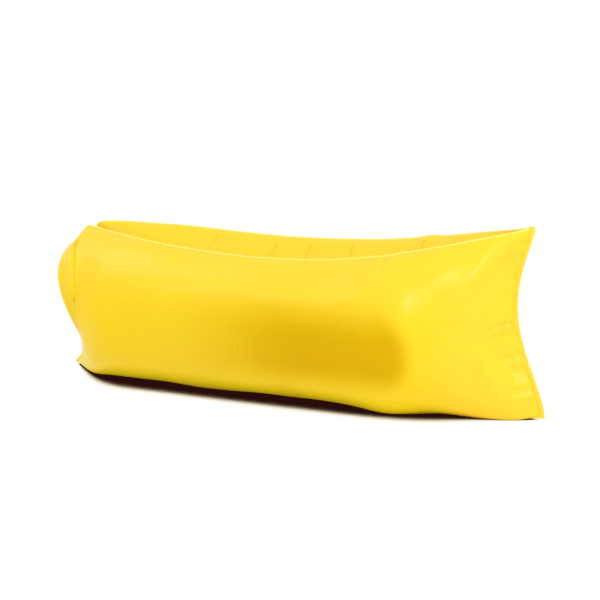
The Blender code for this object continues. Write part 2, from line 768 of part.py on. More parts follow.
def build_plug():
    """The male half: its base, guide tongue, pockets for the prongs' eyes and strap bar."""
    end = PLUG_BAR - BAR_RADIUS
    wide = BUCKLE_HALF_WIDTH
    narrow = BUCKLE_HALF_WIDTH - SOCKET_CORNER
    outline = (
        (PLUG_FACE, -wide),
        (PLUG_FACE, wide),
        (end + SOCKET_CORNER, wide),
        (end, narrow),
        (end, -narrow),
        (end + SOCKET_CORNER, -wide),
    )
    obj = new_part("buckle_plug", prism_mesh("buckle_plug", outline, BUCKLE_HALF_HEIGHT), "buckle_plastic")
    obj.matrix_world = FRAME
    round_edges(obj, BUCKLE_EDGE)
    tongue = (
        (PRONG_EYE_X, -TONGUE_ROOT_HALF),
        (TONGUE_LENGTH, -TONGUE_TIP_HALF),
        (TONGUE_LENGTH, TONGUE_TIP_HALF),
        (PRONG_EYE_X, TONGUE_ROOT_HALF),
    )
    change(obj, buckle_tool("plug_tongue", prism_mesh("plug_tongue", tongue, PRONG_HALF_HEIGHT)), "UNION")
    pocket_half = PRONG_HALF_HEIGHT + POCKET_CLEAR
    for name, side in (("front_pocket", -1), ("rear_pocket", 1)):
        centre = (PRONG_EYE_X, side * PRONG_EYE_Y, 0.0)
        radius = PRONG_EYE_RADIUS + POCKET_CLEAR
        pocket = rod_mesh(name, centre, radius, 2 * pocket_half, Matrix.Identity(4), BAR_SIDES)
        change(obj, buckle_tool(name, pocket), "DIFFERENCE")
        low = (PRONG_EYE_X, side * PRONG_EYE_Y - POCKET_MOUTH_HALF, -pocket_half)
        high = (PLUG_FACE + CUT_OVERRUN, side * PRONG_EYE_Y + POCKET_MOUTH_HALF, pocket_half)
        mouth = box_mesh(f"{name}_mouth", low, high)
        change(obj, buckle_tool(f"{name}_mouth", mouth), "DIFFERENCE")
    add_bar(obj, PLUG_BAR, -1)


def prong_outline(side):
    """The outline of a prong about its eye: a round root, a slim arm and a barbed pad."""
    start = math.asin(PRONG_ARM_OUTER / PRONG_EYE_RADIUS)
    end = 2 * math.pi - math.asin(PRONG_ARM_INNER / PRONG_EYE_RADIUS)
    outline = []
    for step in range(EYE_STEPS + 1):
        angle = start + (end - start) * step / EYE_STEPS
        outline.append((PRONG_EYE_RADIUS * math.cos(angle), PRONG_EYE_RADIUS * math.sin(angle)))
    outline += [
        (PRONG_TIP_X, -PRONG_ARM_INNER),
        (PRONG_TIP_X, PRONG_TIP_OUTER),
        (PAD_PEAK_X, PAD_PEAK),
        (PAD_BACK, PAD_STEP),
        (PAD_BACK, PRONG_ARM_OUTER),
    ]
    return [(x, side * y) for x, y in outline]


def build_prongs():
    """The two sprung arms, each with its origin at its eye."""
    for name, side in (("buckle_prong_front", -1), ("buckle_prong_rear", 1)):
        obj = new_part(name, prism_mesh(name, prong_outline(side), PRONG_HALF_HEIGHT), "buckle_plastic")
        obj.matrix_world = FRAME @ Matrix.Translation((PRONG_EYE_X, side * PRONG_EYE_Y, 0.0))


def main():
    """Build every sub-part."""
    clear_scene()
    new_collection(PART_NAME)
    new_collection("cutters")
    for name in MATERIALS:
        new_material(name)
    outer = panel_rows(False)
    build_panels(outer, panel_rows(True))
    build_seams(outer)
    build_bladders()
    build_mouth_roll()
    build_stiffeners()
    build_straps()
    build_socket()
    build_plug()
    build_prongs()


main()
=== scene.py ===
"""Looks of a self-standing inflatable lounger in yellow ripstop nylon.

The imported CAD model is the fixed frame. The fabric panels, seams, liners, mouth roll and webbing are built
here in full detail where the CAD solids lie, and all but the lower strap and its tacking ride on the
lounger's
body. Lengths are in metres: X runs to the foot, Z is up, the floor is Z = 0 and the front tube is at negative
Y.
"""

import logging
import math
from dataclasses import dataclass, field
from enum import Enum

import bmesh
import bpy
import numpy as np
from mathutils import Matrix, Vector

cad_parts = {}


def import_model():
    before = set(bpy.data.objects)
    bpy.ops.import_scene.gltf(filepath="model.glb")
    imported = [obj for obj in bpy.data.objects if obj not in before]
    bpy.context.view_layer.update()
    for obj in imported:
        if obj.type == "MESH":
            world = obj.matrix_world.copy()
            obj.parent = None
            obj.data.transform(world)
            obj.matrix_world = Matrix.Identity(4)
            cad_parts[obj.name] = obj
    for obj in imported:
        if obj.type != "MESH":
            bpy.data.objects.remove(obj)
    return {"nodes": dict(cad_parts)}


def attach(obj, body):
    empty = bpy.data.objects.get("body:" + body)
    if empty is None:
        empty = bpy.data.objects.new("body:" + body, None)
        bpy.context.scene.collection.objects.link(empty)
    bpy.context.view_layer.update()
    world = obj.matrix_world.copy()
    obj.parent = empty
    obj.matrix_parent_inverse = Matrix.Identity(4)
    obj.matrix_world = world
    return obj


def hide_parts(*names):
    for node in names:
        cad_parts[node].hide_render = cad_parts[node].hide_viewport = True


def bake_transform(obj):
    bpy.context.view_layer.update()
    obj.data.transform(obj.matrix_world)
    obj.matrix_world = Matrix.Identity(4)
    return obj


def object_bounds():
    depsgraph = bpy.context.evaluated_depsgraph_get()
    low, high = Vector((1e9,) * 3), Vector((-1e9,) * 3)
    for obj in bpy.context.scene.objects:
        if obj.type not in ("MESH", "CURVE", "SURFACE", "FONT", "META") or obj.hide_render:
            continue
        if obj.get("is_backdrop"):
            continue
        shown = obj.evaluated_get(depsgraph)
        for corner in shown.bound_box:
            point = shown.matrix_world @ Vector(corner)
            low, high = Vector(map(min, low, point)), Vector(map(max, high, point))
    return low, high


LOG = logging.getLogger("lounger")
CLOTH_MAP = "flat_cloth"
TINY = 1e-12

Array = np.ndarray
Colour = tuple[float, float, float]
Edges = tuple[float, float, float, float]
Material = bpy.types.Material
Piece = bpy.types.Object
Place = tuple[float, float, float]
Socket = bpy.types.NodeSocket
Sockets = bpy.types.bpy_prop_collection
Span = tuple[float, float]


class Tube(Enum):
    """The two air tubes, by the side of the middle that they lie on."""

    FRONT = -1
    REAR = 1

    @property
    def title(self) -> str:
        """Its name in the names of pieces."""
        return self.name.lower()


class Panel(Enum):
    """The two fabric panels of a tube."""

    OUTER = "outer"
    INNER = "inner"


class FoldKind(Enum):
    """How a fold in the fabric is shaped across its line."""

    VALLEY = "valley"
    STEP = "step"
    SWELL = "swell"
    HOLLOW = "hollow"


def smooth(rows: Array, places: Array) -> Array:
    """Points at places along rows, on a Catmull-Rom curve.

    Args:
        rows: the rows that the curve passes through, where row 0 lies at place 0.
        places: where along them the points lie.

    Returns:
        One row for each place.
    """
    last = len(rows) - 1
    first = np.minimum(places.astype(int), last - 1)
    share = (places - first)[:, None]
    start = rows[first]
    end = rows[first + 1]
    start_slope = np.where((first > 0)[:, None], (end - rows[np.maximum(first - 1, 0)]) / 2, end - start)
    inside = (first + 1 < last)[:, None]
    end_slope = np.where(inside, (rows[np.minimum(first + 2, last)] - start) / 2, end - start)
    rest = 1 - share
    return (
        (1 + 2 * share) * rest**2 * start
        + share * rest**2 * start_slope
        + share**2 * (3 - 2 * share) * end
        - share**2 * rest * end_slope
    )


def unit(vectors: Array) -> Array:
    """The vectors at length one."""
    return vectors / np.maximum(np.linalg.norm(vectors, axis=-1, keepdims=True), TINY)


def run_lengths(grid: Array, axis: int) -> Array:
    """How far each point of a grid lies from its first one, along an axis of the grid.

    Args:
        grid: the points.
        axis: the axis.

    Returns:
        One distance for each point.
    """
    steps = np.linalg.norm(np.diff(grid, axis=axis), axis=-1)
    first = np.zeros_like(np.take(steps, [0], axis=axis))
    return np.cumsum(np.concatenate([first, steps], axis=axis), axis=axis)


def read_off(rows: Array, runs: Array, places: Array) -> Array:
    """The rows of a line, whose runs are given, read off at places along it."""
    return np.stack([np.interp(places, runs, column) for column in rows.T], axis=1)


def soft_step(values: Array, low: float, high: float) -> Array:
    """Zero below low, one above high, and smooth between."""
    share = np.clip((values - low) / (high - low), 0, 1)
    return share * share * (3 - 2 * share)


def bell(values: Array, middle: float, width: float) -> Array:
    """One at the middle, and falling off on both sides over a width."""
    return np.exp(-(((values - middle) / width) ** 2))


def wave(runs: Array, length: float, start: float = 0.0) -> Array:
    """A sine wave of a given length, begun at an angle."""
    return np.sin(2 * math.pi * runs / length + start)


def waves(runs: Array, rows: tuple, base: float = 0.0, turn: int = 1) -> Array:
    """Several sine waves together.

    Args:
        runs: the places along them.
        rows: each wave's length, the angle that it begins at, and its height.
        base: what they are added to.
        turn: 1 or -1, which mirrors the angles.

    Returns:
        Their sum at each place.
    """
    return sum((height * wave(runs, length, start * turn) for length, start, height in rows), base)


def table_of(first: Array, second: Array) -> Array:
    """Each value of the first with each of the second, as places on a flat cloth."""
    return np.stack(np.meshgrid(first, second, indexing="ij"), axis=-1)


@dataclass
class LoungerForm:
    """The filled lounger's form, from the size of the CAD model's box.

    Attributes:
        length: the box along X.
        width: the box along Y.
        height: the box along Z.
        fabric: how thick the CAD panels are.
        clear: the gap between pieces that touch.
        guides: the guide lines of the front tube, one row for each station.
    """

    length: float
    width: float
    height: float
    fabric: float = 0.0008
    clear: float = 0.0003
    guides: dict[str, Array] = field(init=False)

    HALF_LENGTH_SHARE = 0.5015
    RIDGE_HEIGHT_SHARE = 0.7889
    RIDGE_SPREAD_SHARE = 0.2804
    BELLY_REACH_SHARE = 0.4692
    MIDDLE_SHARE = 0.006
    ROLL_CENTRE_SHARES = (-0.936, 0.558)
    ROLL_HALF_HEIGHT_SHARE = 0.330
    ROLL_BOW = 0.150
    ROLL_LEAN = 0.025
    ROLL_CORE = 0.0022
    ROLL_SHEET = 0.0009
    ROLL_PITCH = 0.0013
    ROLL_FLAT = 0.0127
    ROLL_TURNS = 2
    MOUTH_PAST_FLAT = 0.0021
    MOUTH_GAP = 0.0010
    MOUTH_TAPER_SHARE = 0.15
    LEAST_FULLNESS = 0.3
    LEAST_INNER_FULLNESS = 0.9
    SEAM_HALVINGS = 24
    # How much the rear ridge rises, and the small kinks of both: a height, then where along X
    RIDGE_RISE = (0.008, -0.88, -0.72, 0.15, 0.42)
    REAR_KINK = (0.005, 0.47, 0.035)
    FRONT_KINK = (-0.003, 0.43, 0.03)
    # The guide lines, station by station, as shares of the half length, the reach across and the ridge height
    RIDGE_SHARES = (
        (-0.940, 0.16, 0.945), (-0.915, 0.19, 0.975), (-0.890, 0.22, 1.020), (-0.865, 0.25, 1.065),
        (-0.725, 0.50, 1.050), (-0.520, 0.82, 1.030), (-0.270, 0.95, 1.005), (-0.020, 1.00, 1.000),
        (0.230, 0.99, 1.025), (0.435, 0.95, 1.080), (0.600, 0.73, 1.135), (0.745, 0.46, 1.190),
        (0.860, 0.22, 1.235), (0.933, 0.00, 1.268),
    )
    BELLY_SHARES = (
        (-0.845, 0.365, 0.585), (-0.890, 0.680, 0.575), (-0.825, 0.770, 0.585), (-0.785, 0.810, 0.405),
        (-0.665, 0.970, 0.395), (-0.475, 0.990, 0.385), (-0.260, 1.000, 0.370), (-0.020, 1.000, 0.385),
        (0.220, 0.990, 0.390), (0.425, 0.945, 0.440), (0.590, 0.785, 0.455), (0.720, 0.520, 0.500),
        (0.815, 0.220, 0.605), (0.879, 0.000, 0.705),
    )
    KEEL_SHARES = (
        (-0.925, 0.0, 0.160), (-0.950, 0.0, 0.080), (-0.975, 0.0, 0.020), (-0.925, 0.0, 0.010),
        (-0.765, 0.0, 0.010), (-0.520, 0.0, 0.010), (-0.270, 0.0, 0.010), (-0.020, 0.0, 0.010),
        (0.230, 0.0, 0.010), (0.455, 0.0, 0.010), (0.640, 0.0, 0.010), (0.800, 0.0, 0.010),
        (0.930, 0.0, 0.010), (0.991, 0.0, 0.012),
    )
    INNER_SHARES = (
        (-0.745, 0.00, 0.560), (-0.725, 0.00, 0.560), (-0.700, 0.00, 0.540), (-0.665, -0.05, 0.520),
        (-0.600, -0.16, 0.500), (-0.460, -0.21, 0.500), (-0.260, -0.21, 0.495), (-0.020, -0.21, 0.495),
        (0.220, -0.21, 0.500), (0.425, -0.21, 0.520), (0.590, -0.16, 0.560), (0.720, -0.05, 0.595),
        (0.815, 0.00, 0.640), (0.879, 0.00, 0.705),
    )
    # How full the sections are: the peak's place, the side, above and below the belly, and the lean
    FULLNESS_SHARES = (
        (1.00, 1.0, 1.00, 1.00, 0.00), (0.95, 1.2, 1.50, 1.40, 0.08), (0.95, 1.2, 1.85, 1.80, 0.14),
        (0.95, 1.5, 1.65, 1.35, 0.12), (0.98, 1.4, 1.20, 1.08, 0.13), (1.00, 1.0, 0.90, 1.13, 0.02),
        (1.00, 1.0, 0.90, 1.12, 0.00), (1.00, 1.0, 0.90, 1.08, 0.00), (1.00, 1.0, 0.90, 1.04, 0.00),
        (1.00, 1.0, 0.90, 1.09, 0.00), (1.00, 1.0, 0.90, 0.60, 0.00), (1.00, 1.2, 0.85, 0.94, 0.00),
        (1.00, 1.6, 0.80, 0.71, 0.00), (1.00, 2.0, 0.80, 0.36, 0.00), (1.00, 3.1, 1.00, 1.00, 0.00),
    )

    def __post_init__(self) -> None:
        """Work out the driving sizes and the guide lines."""
        self.half_length = self.length * self.HALF_LENGTH_SHARE
        self.ridge_height = self.height * self.RIDGE_HEIGHT_SHARE
        ridge_spread = self.width * self.RIDGE_SPREAD_SHARE
        belly_reach = self.width * self.BELLY_REACH_SHARE
        self.outer_layer = self.clear + 2 * self.fabric + 2 * self.clear
        self.roll_outside = self.ROLL_CORE + self.ROLL_SHEET + self.ROLL_TURNS * self.ROLL_PITCH
        self.mouth_half = self.ROLL_FLAT + self.MOUTH_PAST_FLAT
        edge = np.array((0.0, -self.mouth_half, 0.0))
        top, middle, bottom = self.roll_line(np.array((0.0, 1 / 2, 1.0)), self.roll_outside + self.MOUTH_GAP)
        fullness = np.array(self.FULLNESS_SHARES)
        fullness[:, 4] *= belly_reach
        self.guides = {
            "ridge": self.guide_line(top + edge, self.RIDGE_SHARES, ridge_spread),
            "outer": self.guide_line(middle + edge, self.BELLY_SHARES, belly_reach),
            "keel": self.guide_line(bottom, self.KEEL_SHARES, belly_reach),
            "inner": self.guide_line(middle, self.INNER_SHARES, ridge_spread),
            "fullness": fullness,
        }
        self.last_place = len(self.RIDGE_SHARES)

    def guide_line(self, first: Array, shares: tuple, reach: float) -> Array:
        """The points of one guide line of the front tube, from the mouth roll to the foot.

        Args:
            first: its point on the roll.
            shares: its other points, as shares of the driving sizes.
            reach: the size that the shares across are of.

        Returns:
            One row for each station.
        """
        scale = np.array((self.half_length, -reach, self.ridge_height))
        middle = np.array((self.MIDDLE_SHARE, 0.0, 0.0))
        return np.vstack([first, (np.array(shares) - middle) * scale])

    def ridge_lift(self, reach: Array, tube: Tube) -> Array:
        """How much higher than the guide line the ridge of a tube lies.

        Args:
            reach: the places along X.
            tube: the tube.

        Returns:
            One height for each place.
        """
        if tube is Tube.FRONT:
            kink, *place = self.FRONT_KINK
            return kink * bell(reach, *place)
        rise, low, high, fall, end = self.RIDGE_RISE
        kink, *place = self.REAR_KINK
        raised = soft_step(reach, low, high) * (1 - soft_step(reach, fall, end))
        return rise * raised + kink * bell(reach, *place)

    def roll_line(self, ways: Array, outward: float = 0.0) -> Array:
        """Points of the C that the mouth roll follows.

        Args:
            ways: how far along it they lie, from its upper end, 0, to its lower one, 1.
            outward: how far outside its middle line they lie.

        Returns:
            One row for each way.
        """
        turn = (math.pi * ways)[:, None]
        up = np.array((-self.ROLL_LEAN, 0.0, self.ROLL_HALF_HEIGHT_SHARE * self.ridge_height))
        bow = np.array((self.ROLL_BOW, 0.0, 0.0))
        across, height = self.ROLL_CENTRE_SHARES
        centre = np.array((across * self.half_length, 0.0, height * self.ridge_height))
        along = unit(bow * np.cos(turn) - up * np.sin(turn))
        normal = np.stack([-along[:, 2], along[:, 1], along[:, 0]], axis=1)
        return centre + up * np.cos(turn) + bow * np.sin(turn) + normal * outward

    def skin(self, places: Array, ways: Array, panel: Panel) -> Array:
        """Points of the front tube's fabric.

        Args:
            places: where along the stations each rib lies.
            ways: for each rib, how far its points lie from the ridge, 0, to the keel, 1.
            panel: which fabric panel they are on.

        Returns:
            One row of points for each rib.
        """
        ridge = smooth(self.guides["ridge"], places)[:, None]
        keel = smooth(self.guides["keel"], places)[:, None]
        belly = smooth(self.guides[panel.value], places)[:, None]
        fullness = smooth(self.guides["fullness"], places)
        peak, side, above, below, lean = (column[:, None] for column in fullness.T)
        if panel is Panel.INNER:
            peak = np.ones_like(peak)
            lean = np.zeros_like(lean)
            above = np.maximum(above, self.LEAST_INNER_FULLNESS)
            below = np.maximum(below, self.LEAST_INNER_FULLNESS)
        middle = (ridge + keel) / 2
        eased = ways**peak
        swell = np.abs(np.sin(math.pi * eased))
        across = swell ** np.maximum(np.where(eased < 1 / 2, above, below), self.LEAST_FULLNESS)
        points = middle + (ridge - keel) / 2 * np.cos(math.pi * ways)[..., None]
        points += (belly - middle) * np.stack([swell**side, across, across], axis=-1)
        points[..., 0] -= lean * np.sin(2 * math.pi * ways)
        near_mouth = np.maximum(1 - places, 0)[:, None]
        if panel is Panel.INNER:
            layer = np.full_like(ways, self.clear)
            shift = 2 * (self.fabric + self.clear) * near_mouth
            points[..., 1] = np.maximum(points[..., 1], ridge[..., 1] + shift)
        else:
            tapered = near_mouth * np.minimum((1 - ways) / self.MOUTH_TAPER_SHARE, 1)
            layer = self.outer_layer + (self.mouth_half - self.outer_layer) * tapered
        points[..., 1] = np.minimum(points[..., 1], -layer)
        points[..., 2] = np.maximum(points[..., 2], 0)
        return points

    def seam_stops(self, places: Array, line: str, edge_way: float, panel: Panel, gap: float) -> Array:
        """The ways at which the ribs stop short of the seam along a guide line.

        Args:
            places: the ribs' places.
            line: the guide line that the seam follows.
            edge_way: the way of the panel's edge there, 0 or 1.
            panel: the fabric panel.
            gap: how far from the seam's line the fabric stops.

        Returns:
            One way for each rib.
        """
        step = 1 / 8
        seam = smooth(self.guides[line], places)
        behind = smooth(self.guides[line], np.maximum(places - step, 0))
        ahead = smooth(self.guides[line], np.minimum(places + step, self.last_place))
        along = unit(ahead - behind)
        near = np.full(len(places), float(edge_way))
        far = np.full(len(places), 1 / 2)
        for _ in range(self.SEAM_HALVINGS):
            ways = (near + far) / 2
            off = self.skin(places, ways[:, None], panel)[:, 0] - seam
            close = np.linalg.norm(np.cross(off, along), axis=1) < gap
            near = np.where(close, ways, near)
            far = np.where(close, far, ways)
        return far


@dataclass(frozen=True)
class Fold:
    """A fold in the fabric, along a line on it.

    Attributes:
        kind: its shape.
        depth: how deep or high it is where it is strongest.
        width: half its width across.
        edge: where along it, as a share, it is strongest.
        line: points on or near the fabric, from the fold's strong end to where it has run out.
    """

    kind: FoldKind
    depth: float
    width: float
    edge: float
    line: Array

    STEPS = 60
    REACH_WIDTHS = 4
    FADE_POWER = 0.7
    # Where the lip and the groove of a step lie, in widths, and the rim beside a valley with its share
    LIP = 1.2
    GROOVE = -0.3
    GROOVE_SHARPNESS = 3
    RIM = 1.9
    RIM_SHARE = 0.4

    def on_cloth(self, points: Array) -> Array:
        """The fold's line laid on a grid of points.

        Args:
            points: the grid.

        Returns:
            The points of the line.
        """
        rows = []
        for corner in self.line:
            away = np.linalg.norm(points - corner, axis=-1)
            rows.append(np.unravel_index(away.argmin(), away.shape))
        places = smooth(np.array(rows, float), np.linspace(0, len(rows) - 1, self.STEPS))
        places = places.clip(0, np.array(points.shape[:2]) - 1.001)
        ribs, columns = places.astype(int).T
        rib_share, column_share = (places % 1).T[..., None]
        near = points[ribs, columns] * (1 - column_share) + points[ribs, columns + 1] * column_share
        far = points[ribs + 1, columns] * (1 - column_share) + points[ribs + 1, columns + 1] * column_share
        return near * (1 - rib_share) + far * rib_share

    def relief(self, points: Array, normals: Array) -> Array:
        """How far the fold moves each point along its normal.

        Args:
            points: the smooth cloth's grid of points.
            normals: their normals.

        Returns:
            One distance for each point.
        """
        line = self.on_cloth(points)
        reach = self.REACH_WIDTHS * self.width
        close = np.all((points > line.min(axis=0) - reach) & (points < line.max(axis=0) + reach), axis=-1)
        spots = points[close]
        facing = normals[close]
        least = np.full(len(spots), np.inf)
        share = np.zeros(len(spots))
        side = np.zeros(len(spots))
        for number, (start, end) in enumerate(zip(line[:-1], line[1:])):
            run = end - start
            part = np.clip((spots - start) @ run / max(run @ run, TINY), 0, 1)
            off = spots - start - part[:, None] * run
            away = np.linalg.norm(off, axis=-1)
            nearer = away < least
            least = np.where(nearer, away, least)
            share = np.where(nearer, (number + part) / (self.STEPS - 1), share)
            side = np.where(nearer, np.sign(np.einsum("ij,ij->i", np.cross(facing, run), off)), side)
        total = np.zeros(points.shape[:2])
        total[close] = self.depth * self.strength(share) * self.profile(least / self.width, side)
        return total

    def profile(self, away: Array, side: Array) -> Array:
        """The fold's section.

        Args:
            away: the distance from its line, in widths.
            side: 1 or -1, by the side of the line.

        Returns:
            The share of the depth at each distance.
        """
        if self.kind is FoldKind.STEP:
            lip = side * away
            groove = np.exp(-((lip - self.GROOVE) ** 2) * self.GROOVE_SHARPNESS)
            return bell(lip, self.LIP, 1) - groove
        middle = bell(away, 0, 1)
        if self.kind is FoldKind.SWELL:
            return middle
        if self.kind is FoldKind.HOLLOW:
            return -middle
        return self.RIM_SHARE * bell(away, self.RIM, 1) - middle

    def strength(self, share: Array) -> Array:
        """How strong the fold is, by the share of its line."""
        before = soft_step(share, -0.01, self.edge) if self.edge else 1.0
        return before * np.clip((1 - share) / (1 - self.edge), 0, 1) ** self.FADE_POWER


def mesh_object(name: str, points: Array, faces: list, material: Material, closed: bool = False) -> Piece:
    """A mesh object with smooth faces.

    Args:
        name: the piece's name.
        points: its points, in rows or as a grid.
        faces: the corners of its faces.
        material: its finish.
        closed: whether it is a closed form, whose faces are then all turned out.

    Returns:
        The new object.
    """
    mesh = bpy.data.meshes.new(name)
    mesh.from_pydata(points.reshape(-1, 3).tolist(), [], faces)
    if closed:
        work = bmesh.new()
        work.from_mesh(mesh)
        bmesh.ops.recalc_face_normals(work, faces=work.faces)
        work.to_mesh(mesh)
        work.free()
    mesh.polygons.foreach_set("use_smooth", [True] * len(mesh.polygons))
    mesh.materials.append(material)
    mesh.update()
    obj = bpy.data.objects.new(name, mesh)
    bpy.context.scene.collection.objects.link(obj)
    return obj


def grid_faces(rows: int, columns: int, flipped: bool = False, closed: bool = False, start: int = 0) -> list:
    """The four-sided faces of a grid of points.

    Args:
        rows: how many rows it has.
        columns: how many points a row has.
        flipped: whether the faces turn the other way.
        closed: whether the last column joins the first.
        start: the number of the grid's first point.

    Returns:
        The corners of each face.
    """
    numbers = start + np.arange(rows * columns).reshape(rows, columns)
    following = np.roll(numbers, -1, axis=1) if closed else numbers[:, 1:]
    own = numbers if closed else numbers[:, :-1]
    corners = np.stack([own[:-1], following[:-1], following[1:], own[1:]], axis=-1).reshape(-1, 4)
    return (corners[:, ::-1] if flipped else corners).tolist()


def rod_faces(rings: int, columns: int, start: int = 0) -> list:
    """The faces of a rod of rings, with both its ends.

    Args:
        rings: how many rings it has.
        columns: how many points a ring has.
        start: the number of its first point.

    Returns:
        The corners of each face.
    """
    last = start + (rings - 1) * columns
    ends = [list(range(start, start + columns))[::-1], list(range(last, last + columns))]
    return grid_faces(rings, columns, closed=True, start=start) + ends


def flat_cap(columns: int, start: int) -> list:
    """Four-sided faces across a flattened ring, by its number of points and its first point's number."""
    pairs = [(start + number, start + columns - 1 - number) for number in range(columns // 2)]
    return [[near, far, far - 1, near + 1] for near, far in pairs[:-1]]


def map_cloth(obj: Piece, places: Array) -> None:
    """Give a mesh its cloth map: where each point lies on the flat cloth, in metres.

    Args:
        obj: the piece.
        places: the places, one for each point.
    """
    mesh = obj.data
    layer = mesh.uv_layers.new(name=CLOTH_MAP)
    corners = np.zeros(len(mesh.loops), np.int32)
    mesh.loops.foreach_get("vertex_index", corners)
    layer.data.foreach_set("uv", places.reshape(-1, 2)[corners].astype(np.float32).ravel())


def thicken(obj: Piece, thickness: float) -> None:
    """Give a sheet its thickness, on its inner side.

    Args:
        obj: the sheet.
        thickness: how thick it is.
    """
    solid = obj.modifiers.new("thickness", "SOLIDIFY")
    solid.thickness = thickness
    solid.offset = -1
    solid.use_even_offset = False


def settle(obj: Piece, cad_node: str = "") -> None:
    """Let a piece ride on the lounger's body, and hide the CAD node that it stands for.

    Args:
        obj: the piece.
        cad_node: the CAD node that it replaces, if any.
    """
    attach(obj, "lounger_body")
    if cad_node:
        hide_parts(cad_node)


@dataclass
class Graph:
    """A tree of shader nodes that is being put together."""

    tree: bpy.types.NodeTree

    def add(self, kind: str, **values: object) -> bpy.types.Node:
        """A node with its settings, and the values or links of its inputs.

        Args:
            kind: the node's type, without ShaderNode.
            values: settings by their own name, then inputs by theirs with _ for a space and in_ before it.

        Returns:
            The new node.
        """
        node = self.tree.nodes.new(f"ShaderNode{kind}")
        for name, value in values.items():
            if name.startswith("in_"):
                key = name[3:].replace("_", " ")
                self.put(node.inputs[int(key) if key.isdigit() else key], value)
            else:
                setattr(node, name, value)
        return node

    def put(self, socket: Socket, value: object) -> None:
        """Link a socket to another one, or set its value.

        Args:
            socket: the socket.
            value: another socket, a value, or None to leave it.
        """
        if isinstance(value, Socket):
            self.tree.links.new(value, socket)
        elif value is not None:
            socket.default_value = (*value, 1.0) if socket.type == "RGBA" and len(value) == 3 else value

    def put_all(self, sockets: Sockets, **values: object) -> None:
        """Link or set several sockets, by their names with _ for a space."""
        for name, value in values.items():
            self.put(sockets[name.replace("_", " ")], value)

    def math(self, operation: str, first: object, second: object = None, third: object = None) -> Socket:
        """The result of a Math node."""
        return self.add("Math", operation=operation, in_0=first, in_1=second, in_2=third).outputs[0]

    def times(self, first: object, second: object) -> Socket:
        """The product of two values."""
        return self.math("MULTIPLY", first, second)

    def plus(self, first: object, second: object) -> Socket:
        """The sum of two values."""
        return self.math("ADD", first, second)

    def most(self, first: object, second: object) -> Socket:
        """The greater of two values."""
        return self.math("MAXIMUM", first, second)

    def threads(self, place: Socket, pitch: object) -> Socket:
        """Rounded ridges across a place, one to each pitch."""
        turns = self.math("DIVIDE", place, pitch)
        return self.math("ABSOLUTE", self.math("SINE", self.times(turns, math.pi)))

    def noise(self, vector: Socket, scale: object, detail: float = 3.0, rough: float = 0.5) -> Socket:
        """The value of a Noise Texture."""
        node = self.add("TexNoise", in_Vector=vector, in_Scale=scale, in_Detail=detail, in_Roughness=rough)
        return node.outputs["Fac"]

    def remap(self, value: Socket, low: float, high: float, start: float = 0.0, end: float = 1.0) -> Socket:
        """A value between low and high, taken smoothly to one between start and end.

        Args:
            value: the value.
            low: where its range starts.
            high: where it ends.
            start: what low is taken to.
            end: what high is taken to.

        Returns:
            The new value.
        """
        node = self.add("MapRange", interpolation_type="SMOOTHSTEP", in_Value=value)
        self.put_all(node.inputs, From_Min=low, From_Max=high, To_Min=start, To_Max=end)
        return node.outputs["Result"]

    def band(self, value: Socket, edges: Edges) -> Socket:
        """A value that rises from the first edge to the second and falls from the third to the last."""
        rise, high, fall, end = edges
        return self.times(self.remap(value, rise, high), self.remap(value, fall, end, 1.0, 0.0))

    def mix(self, share: object, first: object, second: object) -> Socket:
        """A mix of two colours."""
        return self.add("Mix", data_type="RGBA", in_0=share, in_6=first, in_7=second).outputs[2]

    def bump(self, height: Socket, distance: float, strength: float, below: Socket | None = None) -> Socket:
        """The normal of a Bump node."""
        node = self.add("Bump", in_Height=height, in_Normal=below, in_Distance=distance, in_Strength=strength)
        return node.outputs["Normal"]


def new_group(name: str, inputs: dict, outputs: dict) -> tuple[Graph, Sockets, Sockets]:
    """An empty node group with its sockets.

    Args:
        name: the group's name.
        inputs: each input's name, with its default: a number, a colour, or None for a vector.
        outputs: each output's name with the same.

    Returns:
        Its graph, the sockets that bring its inputs and the sockets that take its outputs.
    """
    tree = bpy.data.node_groups.new(name, "ShaderNodeTree")
    for in_out, sockets in (("INPUT", inputs), ("OUTPUT", outputs)):
        for title, value in sockets.items():
            kind = "Vector" if value is None else "Float" if isinstance(value, float) else "Color"
            socket = tree.interface.new_socket(name=title, in_out=in_out, socket_type=f"NodeSocket{kind}")
            if in_out == "INPUT" and value is not None:
                socket.default_value = value if kind == "Float" else (*value, 1.0)
    return Graph(tree), tree.nodes.new("NodeGroupInput").outputs, tree.nodes.new("NodeGroupOutput").inputs


